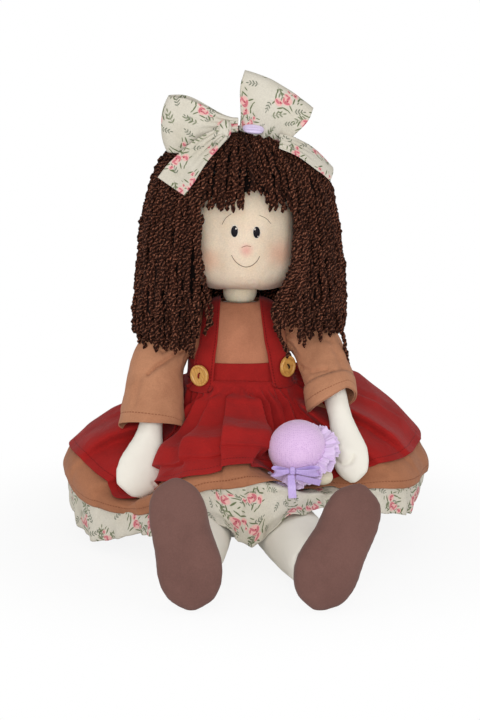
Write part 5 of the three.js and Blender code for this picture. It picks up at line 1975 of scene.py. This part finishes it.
@dataclass(frozen=True)
class Ribbon(Strip):
    """A strip of cloth laid along points, with its half widths at them, in millimetres."""

    points: tuple[Point, ...]
    halves: tuple[float, ...]
    wide_axis: Point
    cup: float = 0.0
    thickness: float = 1.2
    gather: float = 0.0
    crumple: float = 0.8
    rests_on: tuple[str, ...] = ()

    def build(self) -> Piece:
        """Makes the strip."""
        rows, columns = 70, 33
        path = curve_through(self.points, rows)
        halves = np.interp(np.linspace(0, 1, rows), np.linspace(0, 1, len(self.halves)), self.halves)
        ways = directions(path)
        sides = np.array(self.wide_axis) - ways * (ways @ np.array(self.wide_axis))[:, None]
        sides /= np.linalg.norm(sides, axis=1, keepdims=True)
        out = np.cross(ways, sides)
        v = np.linspace(-1, 1, columns)
        t = np.linspace(0, 1, rows)[:, None]
        rise = self.cup * v**2 + self.gather * np.cos(4.5 * math.pi * v + 1) * (1 - smooth_step(t, 0.0, 0.75))
        grid = path[:, None] + sides[:, None] * (v[None] * halves[:, None])[:, :, None]
        rise = rise + self.crumple * noise_at(grid, 17.0, 2.0) * smooth_step(t, 0.0, 0.3)
        grid = (grid + out[:, None] * rise[:, :, None]) * MM
        across = v * max(self.halves) * MM
        return self._sewn(grid, lengths_along(path) * MM, across, self.thickness, self.rests_on)


@dataclass(frozen=True)
class Loop(Strip):
    """A ribbon loop, out from its knot, round the fold and back, in millimetres."""

    root: Point
    tip: Point
    lean: Point
    root_width: float
    tip_width: float
    belly: float
    thickness: float = 1.2
    gather: float = 0.0
    crumple: float = 0.8
    corners: float = 4.0
    skew: float = 0.0

    def build(self) -> Piece:
        """Makes the loop."""
        rows, columns = 130, 41
        start = np.array(self.root, float)
        out = np.array(self.tip, float) - start
        outward = unit(out)
        wide = np.array(self.lean, float)
        wide = unit(wide - outward * wide.dot(outward))
        belly_axis = np.cross(outward, wide)
        turn = np.linspace(0, 2 * math.pi, rows)[:, None]
        v = np.linspace(-1, 1, columns)[None]
        reach = (1 - np.cos(turn)) / 2
        half = np.where(turn < math.pi, 1.0, -1.0)
        swell = self.belly * np.sin(turn) * np.sqrt(np.maximum(reach, 0.02))
        width = self.root_width + (self.tip_width - self.root_width) * smooth_step(reach, 0, 0.85)
        apart = half * (self.thickness / 2 + 0.5) * (1 - np.exp(-(((turn - math.pi) / 0.25) ** 2)))
        pleats = self.gather * np.cos(5 * math.pi * v + 0.8 * half) * (1 - smooth_step(reach, 0.0, 0.8))
        bow_out = (self.corners * v**2 + self.skew * v) * reach
        grid = (
            start + out * reach[..., None] + wide * (v * width)[..., None]
            + belly_axis * (swell + apart + pleats * half)[..., None] + outward * bow_out[..., None]
        )
        normals = soften(grid_normals(grid, False), 2.0, 2.0, closed=False)
        folds = self.crumple * noise_at(grid, 19.0, 6.0) * smooth_step(reach, 0.1, 0.5)
        grid = (grid + normals * folds[..., None]) * MM
        return self._sewn(
            grid, lengths_along(grid[:, columns // 2]), v[0] * self.tip_width * MM, self.thickness
        )


@dataclass(frozen=True)
class Knot(Strip):
    """A gathered knot: a short bundle with folds along it, in millimetres."""

    centre: Point
    axis: Point
    half: float
    wide: float
    thin: float
    folds: int = 7

    def build(self) -> Piece:
        """Makes the knot."""
        way = unit(np.array(self.axis, float))
        side = unit(np.array((0, 1, 0.2)) - way * way.dot((0, 1, 0.2)))
        deep = np.cross(way, side)
        angles = turns(72)
        grid = []
        for t in np.linspace(0, 1, 30):
            swell = max(1 - abs(2 * t - 1) ** 3, 0.02) ** 0.5
            crease = 1 + 0.07 * np.sin(self.folds * angles + 1.5 * math.sin(3 * t)) * swell
            x, y = outline(angles, self.thin * swell, self.wide * swell, 2.4)
            ring = np.array(self.centre) + way * self.half * (2 * t - 1)
            grid.append(ring + side * (x * crease)[:, None] + deep * (y * crease)[:, None])
        made = np.array(grid) * MM
        rows, columns = made.shape[:2]
        along = np.linspace(0, 2 * self.half * MM, rows)
        uv = np.stack(np.meshgrid(along, np.linspace(0, 6 * self.wide * MM, columns + 1), indexing="ij"), axis=2)
        piece = sheet_object(self.name, made, True, np.array(self.centre) * MM, uv)
        close_holes(piece)
        return finish_piece(piece, self.finish, self.body, (self.node,))


# The bonnet baby


@dataclass(frozen=True)
class Bonnet:
    """The little doll's gauze bonnet: a smooth crown gathered into a lace frill."""

    centre: Point = (58.0, -124.0, 127.0)
    axis: Point = (-0.42, -0.5, 0.76)
    radius: float = 30.0
    frill_set: float = 13.0
    frill_width: float = 11.5
    lace_inner: float = 20.0
    flatness: float = 0.86
    waves: int = 13

    def _axes(self) -> Array:
        """The bonnet's own X, Y and Z, as rows."""
        z = Vector(self.axis).normalized()
        turn = Vector((0, 0, 1)).rotation_difference(z).to_matrix()
        return np.array(turn).T

    def _placed(self, grid: Array) -> Array:
        """A grid in the bonnet's own axes, put in place, in metres."""
        return (grid @ self._axes() + np.array(self.centre)) * MM

    def build(self) -> None:
        """Makes the crown and the frill."""
        base = -self.frill_set + 1.6
        angles = turns(240)
        lowest = math.asin(base / self.radius)
        grid = []
        for climb in np.linspace(lowest, math.pi / 2 - 0.01, 70):
            near = math.exp(-((climb - lowest) / 0.28) ** 2)
            pleat = 1 + 0.02 * near * np.sin(34 * angles + 2 * np.sin(5 * angles))
            r = self.radius * math.cos(climb) * pleat
            high = np.full(angles.shape, base + self.flatness * (self.radius * math.sin(climb) - base))
            grid.append(np.stack([r * np.cos(angles), r * np.sin(angles), high], axis=1))
        crown = sheet_object(
            "bonnet_crown_gauze", self._placed(np.array(grid)), True, np.array(self.centre) * MM
        )
        close_holes(crown)
        finish_piece(crown, GAUZE, "baby", ("bonnet_crown",))
        for name, extra, set_back, turn in (("", 0.0, 0.5, 0.0), ("_under", 1.5, 4.5, 0.25)):
            self._lace(f"bonnet_frill_lace{name}", extra, base - set_back, turn)

    def _lace(self, name: str, extra: float, top: float, turn: float) -> None:
        """One gathered, scalloped round of lace."""
        outer = math.sqrt(self.radius**2 - self.frill_set**2) + self.frill_width + extra
        grid = []
        angles = turns(560)
        scallop = 1.1 * np.abs(np.sin(26 * angles))
        phase = self.waves * (angles + turn) + 0.8 * np.sin(3 * angles)
        ripple = np.sin(2.6 * self.waves * (angles + turn) + 1 + np.sin(5 * angles))
        for t in np.linspace(0, 1, 34):
            r = self.lace_inner + (outer - self.lace_inner) * t + scallop * smooth_step(t, 0.8, 1)
            wave = 3.3 * t**1.5 * np.sin(phase) + 1.3 * t * ripple
            sway = 0.03 * t * np.cos(phase)
            grid.append(
                np.stack([r * np.cos(angles + sway), r * np.sin(angles + sway), top - 3 * t + wave], axis=1)
            )
        frill = thicken(sheet_object(name, self._placed(np.array(grid)), True, None), 0.0008)
        finish_piece(frill, LACE, "baby", ("bonnet_frill",) if not turn else ())


# The doll


# A sleeve's route and half sizes are in millimetres, and its creases' pixels go with a width and a depth
SLEEVES = {
    Side.RIGHT: Sleeve(
        Side.RIGHT, ((-50, 0, 232), (-68, -3, 226), (-88, -19, 197), (-93, -38, 166), (-95, -60, 132)),
        ((0, 25, 25), (0.4, 28, 27), (0.7, 32, 28), (1, 36, 27)), longer=0.006,
        creases=(
            (((184, 350), (174, 356), (158, 365), (148, 373)), 0.0028, 0.0045),
            (((181, 364), (168, 369), (156, 376)), 0.006, -0.002),
            (((180, 341), (171, 346), (163, 351)), 0.0025, 0.003),
            (((142, 372), (137, 388), (134, 404)), 0.004, 0.0016),
        ),
    ),
    Side.LEFT: Sleeve(
        Side.LEFT, ((50, 0, 232), (68, -3, 228), (85, -17, 208), (94, -38, 185), (98, -58, 162)),
        ((0, 25, 25), (0.4, 27, 27), (0.75, 27, 27), (1, 26, 27)), longer=0.017, longer_side=(-0.7, -0.7, 0),
        creases=(
            (((299, 366), (311, 372), (326, 369)), 0.0025, 0.003),
            (((306, 388), (318, 383), (334, 372)), 0.0025, 0.0025),
            (((330, 340), (338, 356), (343, 370)), 0.004, 0.0016),
        ),
    ),
}
# A strap's front end and its inner edge at the band, in millimetres
STRAP_ENDS = {Side.RIGHT: (166.0, 27.0), Side.LEFT: (170.0, 32.0)}
# The piece, the pixels, the width and the depth of each tuck, and a rise where the depth is below 0
TUCKS = (
    ("head", ((252, 281), (254, 286)), 0.0016, 0.0011), ("head", ((259, 282), (259.5, 287)), 0.0016, 0.001),
    ("head", ((245, 283), (246, 287)), 0.0015, 0.0006),
    ("foot_right", ((166, 490), (167, 518), (171, 547), (181, 579)), 0.0014, 0.0009),
    ("foot_right", ((161, 518), (167, 516.5), (173, 519)), 0.0018, 0.0012),
    ("foot_left", ((358, 514), (363, 512.5), (368, 514)), 0.0016, 0.0009),
    ("foot_left", ((357, 518.5), (362, 518), (366, 520)), 0.0016, 0.0009),
    ("arm_right", ((153, 483), (157, 489)), 0.0016, 0.0014),
    ("arm_right", ((160, 480), (162, 486)), 0.0016, 0.0012),
    ("arm_left", ((341, 448), (346, 451)), 0.007, -0.003),
    ("arm_left", ((334, 459), (341, 465), (350, 463), (354, 456)), 0.0022, 0.003),
)
# The pixels of each skirt's hem
HEMS = {
    "pinafore_skirt": (
        (69, 449), (84, 460), (96, 468), (100, 485), (106, 498), (142, 499), (166, 485), (186, 479), (210, 476),
        (230, 470), (251, 473), (266, 460), (275, 456), (300, 460), (330, 465), (364, 467), (400, 465), (419, 464),
        (421, 456),
    ),
    "underskirt": (
        (62, 472), (67, 485), (75, 497), (96, 507), (121, 513), (145, 516), (170, 503), (198, 491), (230, 488),
        (254, 485), (271, 481), (324, 483), (363, 491), (373, 493), (399, 488), (419, 483), (430, 472),
    ),
    "petticoat": (
        (66, 490), (69, 519), (84, 531), (99, 546), (121, 534), (145, 535), (180, 530), (215, 528), (234, 540),
        (254, 543), (273, 534), (283, 521), (302, 513), (327, 507), (350, 506), (375, 510), (385, 518), (399, 511),
        (409, 515), (416, 507),
    ),
}
SKIRT_FOLDS = (
    Fold(-96, 7.0, 0.0105, 0.004, 0.26, 0, -9), Fold(-80, 7.0, 0.0105, 0.004, 0.27, -60, 9),
    Fold(-66, 5.0, 0.006, 0.004, 0.12, -60, 6), Fold(-55, 5.0, 0.0075, 0.004, 0.18, -30, 6),
    Fold(-45, 5.0, 0.0065, 0.004, 0.2, -20, 6), Fold(-112, 5.0, 0.006, 0.004, 0.13, 10, -6),
    Fold(-124, 5.0, 0.0075, 0.004, 0.2, 20, -6), Fold(-136, 6.0, 0.007, 0.01, 0.24, 30, -5),
    Fold(-33, 7.0, 0.011, 0.02, 0.30, 40, -6), Fold(-17, 8.0, 0.012, 0.03, 0.30, 10, -6),
    Fold(-3, 6.0, 0.006, 0.03, 0.30, 10, 4), Fold(-150, 7.0, 0.013, 0.03, 0.30, -5, 6),
    Fold(-164, 7.0, 0.01, 0.03, 0.30, -15, 5), Fold(25, 7.0, 0.006, 0.03, 0.3, 0, 3),
    Fold(60, 7.0, 0.007, 0.03, 0.3, 0, -3), Fold(95, 7.0, 0.006, 0.03, 0.3, 0, 3),
    Fold(135, 7.0, 0.007, 0.03, 0.3, 0, -3),
)
# The voxel and the smoothing of each side's stuffed limbs, with the body that they ride on
LIMBS = (
    ("leg", "leg", CREAM, 0.004, 9), ("foot", "leg", SOLE, 0.0035, 22), ("arm", "arm", CREAM, 0.0032, 13),
)


@dataclass
class Doll:
    """The whole rag doll over its frame."""

    nodes: dict[str, Piece]
    view: View
    face_middle: float = 0.008
    face_out: float = 0.0035
    face_forward: float = 0.0075
    chin_lift: float = 0.0045
    neck_spread: float = 0.1
    neck_drop: float = 0.004
    root_gather: float = 0.3

    def _tree(self, *names: str) -> BVHTree:
        """A tree of some CAD nodes' faces."""
        return tree_of([self.nodes[name] for name in names])

    def stuffed(self) -> dict[str, Piece]:
        """Fills and dresses every stuffed piece."""
        parts = [
            Stuffed("torso", "doll", CREAM, "stuffed_torso", voxel=0.006),
            Stuffed("neck", "neck", NECK_CREAM, "stuffed_neck", voxel=0.003),
            Stuffed("head", "head", self._head_cotton(), "stuffed_head", ease=11, fill=0.9),
            Stuffed("baby_body", "baby", CREAM_IN_PAINTED_SHADE, "stuffed_baby_body", voxel=0.0025),
        ]
        for side in Side:
            for limb, body, finish, voxel, ease in LIMBS:
                node = f"{limb}_{side.word}"
                parts.append(
                    Stuffed(node, f"{body}_{side.word}", finish, f"stuffed_{node}", voxel=voxel, ease=ease)
                )
        pieces = {part.node: part.form(self.nodes) for part in parts}
        Filling().swell(list(pieces.values()))
        for part in parts:
            part.dress(pieces[part.node])
        self._fit(pieces)
        self._tucks(pieces)
        return pieces

    def _fit(self, pieces: dict[str, Piece]) -> None:
        """Spreads the neck's foot to fill the collar, flattens the face and gathers the arms' upper ends."""
        neck = points_of(pieces["neck"])
        low = 1 - smooth_step(neck[:, 2], 0.252, 0.264)
        neck[:, :2] *= (1 + self.neck_spread * low)[:, None]
        neck[:, 2] -= self.neck_drop * low
        move_points(pieces["neck"], neck)
        head = points_of(pieces["head"])
        out = head[:, 0] - self.face_middle
        edge = smooth_step(np.abs(out), 0.026, 0.052) * smooth_step(-head[:, 1], 0.015, 0.05)
        edge *= 1 - smooth_step(head[:, 2], 0.37, 0.4)
        head[:, 0] += np.sign(out) * self.face_out * edge
        head[:, 1] -= self.face_forward * edge
        chin = (1 - smooth_step(head[:, 2], 0.274, 0.31)) * smooth_step(-head[:, 1], 0.0, 0.03)
        head[:, 2] += self.chin_lift * chin
        move_points(pieces["head"], head)
        for side in Side:
            arm = points_of(pieces[f"arm_{side.word}"])
            root = 1 - smooth_step(np.abs(arm[:, 0]), 0.054, 0.07)
            socket = np.array((side.value * 0.056, 0.0, 0.228))
            move_points(pieces[f"arm_{side.word}"], arm + self.root_gather * (socket - arm) * root[:, None])

    def _tucks(self, pieces: dict[str, Piece]) -> None:
        """Presses the tucks, dimples and seams into the stuffed pieces where the photograph shows them."""
        for node, pixels, width, depth in TUCKS:
            tree = tree_of([pieces[node]])
            furrow(pieces[node], np.array([self.view.place_on(tree, *pixel) for pixel in pixels]), width, depth)

    def _head_cotton(self) -> Cotton:
        """Cream cotton with the cheeks and the nose rubbed with chalk."""
        head = self._tree("head")
        cheek, nose = "#E9A98A", "#E2938C"
        spots = (((207, 259), 0.021, cheek), ((281, 253.5), 0.023, cheek), ((246.4, 250.5), 0.0105, nose))
        blushes = tuple(
            Blush(tuple(self.view.place_on(head, *pixel)), radius, colour) for pixel, radius, colour in spots
        )
        return replace(CREAM, name="cream_head_cotton", colour="#EBD9C2", shade="#E2CBB0", blushes=blushes)

    def clothes(self) -> None:
        """Dresses the doll."""
        blouse = Bodice().build()
        Waistband().build()
        for side in Side:
            first, inner = STRAP_ENDS[side]
            Strap(side, front_end=first, inner_at_band=inner).build()
            SLEEVES[side].build(tree_of([blouse]), (side.value * 0.052, 0.0, 0.232), self.view)
        SLEEVES[Side.LEFT].cuff()
        draping = Draping(folds=SKIRT_FOLDS)
        under = replace(draping, followed=0.3, gather_height=0.0004, fold_height=0.0036)
        sagging = replace(draping, overhangs=(Overhang(-102, 44, 0.027, 0.012, -0.00012),))
        skirts = (
            Skirt(
                "floral_petticoat", "petticoat", FLORAL, under, ("stuffed_leg_right", "stuffed_leg_left"),
                ruffle=0.0024, over=self._tree("leg_left", "leg_right"),
            ),
            Skirt(
                "tan_underskirt", "underskirt", UNDER, replace(under, followed=0.35, fold_height=0.0039),
                ("floral_petticoat",), loft=0.0014,
            ),
            Skirt("red_pinafore_skirt", "pinafore_skirt", RED, sagging, ("tan_underskirt",), loft=0.0022),
        )
        for skirt in skirts:
            replace(skirt, view=self.view, hem=HEMS[skirt.node]).build(self._tree(skirt.node))
        self._buttons()

    def _buttons(self) -> None:
        """Sews on the two buttons where the frame has them."""
        for side, turn, thread in ((Side.RIGHT, 0.75, RED_THREAD), (Side.LEFT, -0.3, DARK_THREAD)):
            low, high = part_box(f"button_{side.word}")
            place = tuple((low[k] + high[k]) / 2 for k in range(3))
            tree = self._tree(f"button_{side.word}")
            outward = Vector((side.value * 0.5, -1, 0)).normalized()
            spots = [Vector(place) + Vector((side.value * x, -0.02, 0)) for x in (0.005, 0.01, 0.015)]
            normals = [tree.find_nearest(spot)[1] for spot in spots]
            _, facing = max((normal.dot(outward), tuple(normal)) for normal in normals)
            Button(side, place, facing, turn, thread).build()

    def bow(self) -> None:
        """Ties the bow on the hair."""
        head = "head"
        Knot(
            "bow_lilac_tie", "bow_tie", head, PALE_SATIN, (14, -29.5, 447), (1, 0, -0.1), 11.5, 4.8, 6.5
        ).build()
        Knot(
            "bow_gathered_fold", "bow_gather", head, FLORAL, (-17, -37.6, 446.6), (0.1, 0.45, 1), 11, 7.5, 6.5
        ).build()
        Loop("bow_left_loop", "bow_loop_left", head, FLORAL, (24, -24, 438), (42, -26, 492), (0.85, 0, -0.53),
             26, 40, 13, gather=1.6, corners=-5, skew=-7.5).build()
        Loop("bow_right_loop", "bow_loop_right", head, FLORAL, (-3, -28, 451), (-82, -34, 453), (0.06, -0.1, 1),
             7, 29, 13, gather=1.2, corners=-7).build()
        Ribbon("bow_right_tail", "bow_tail_right", head, FLORAL,
               ((-18, -44, 442), (-30, -50, 434), (-47, -54, 419), (-62, -58, 401), (-71, -61, 389)),
               (7, 12, 15, 18, 18.5), (0.7, -0.45, -0.55), cup=2, gather=1.2).build()
        Ribbon("bow_left_tail", "bow_tail_left", head, FLORAL,
               ((42, -44, 437), (58, -39, 432), (74, -32, 422), (88, -26, 411), (99, -22, 400)),
               (10, 13, 15, 15, 13), (0.25, -0.6, -0.75), cup=2, gather=1.2).build()

    def bonnet_baby(self) -> None:
        """Makes the little doll on the lap."""
        Bonnet().build()
        x, y, z = 53.6, -153.6, 108.5
        satin, baby, upright = Satin(), "baby", (0, -0.3, 1)
        Knot("bonnet_satin_knot", "bonnet_knot", baby, satin, (x, y, z), (1, 0, 0), 3.4, 4, 3, folds=5).build()
        for word, root, tip in (
            ("right", (x - 3.9, y, z), (x - 17, y + 0.5, z - 0.5)),
            ("left", (x + 3.9, y, z), (x + 24, y + 3, z - 1)),
        ):
            Loop(f"bonnet_satin_loop_{word}", f"bonnet_loop_{word}", baby, satin, root, tip, upright,
                 2.2, 4.6, 3.2, thickness=0.6, gather=0.3, crumple=0.3).build()
        for word, route, halves, wide_axis in (
            ("right", ((x - 1.5, y - 2.2, z - 4.1), (x - 1, y - 9.5, z - 12), (x, y - 13, z - 25)),
             (3.4, 4, 4.2), (1, 0, 0)),
            ("left", ((x + 3.5, y - 1.5, z - 5.6), (x + 16, y, z - 9.5), (x + 29, y + 1.5, z - 13)),
             (2.6, 3.2, 3.4), upright),
        ):
            Ribbon(f"bonnet_satin_tail_{word}", f"bonnet_ribbon_{word}", baby, satin, route, halves, wide_axis,
                   thickness=0.6, crumple=0.3).build()


def main() -> None:
    """Lays the doll over its frame and reports each piece."""
    logging.basicConfig(level=logging.INFO, format="%(message)s")
    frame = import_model()
    view = View()
    Studio(view).build()
    doll = Doll(frame["nodes"], view)
    pieces = doll.stuffed()
    Face(view, tree_of([pieces["head"]])).build()
    doll.clothes()
    hair = [f"hair_{part}" for part in ("cap", "fringe", "curtain_right", "curtain_left", "back")]
    Hair().build(frame["nodes"], doll._tree(*hair), view)
    doll.bow()
    doll.bonnet_baby()


if __name__ == "__main__":
    main()
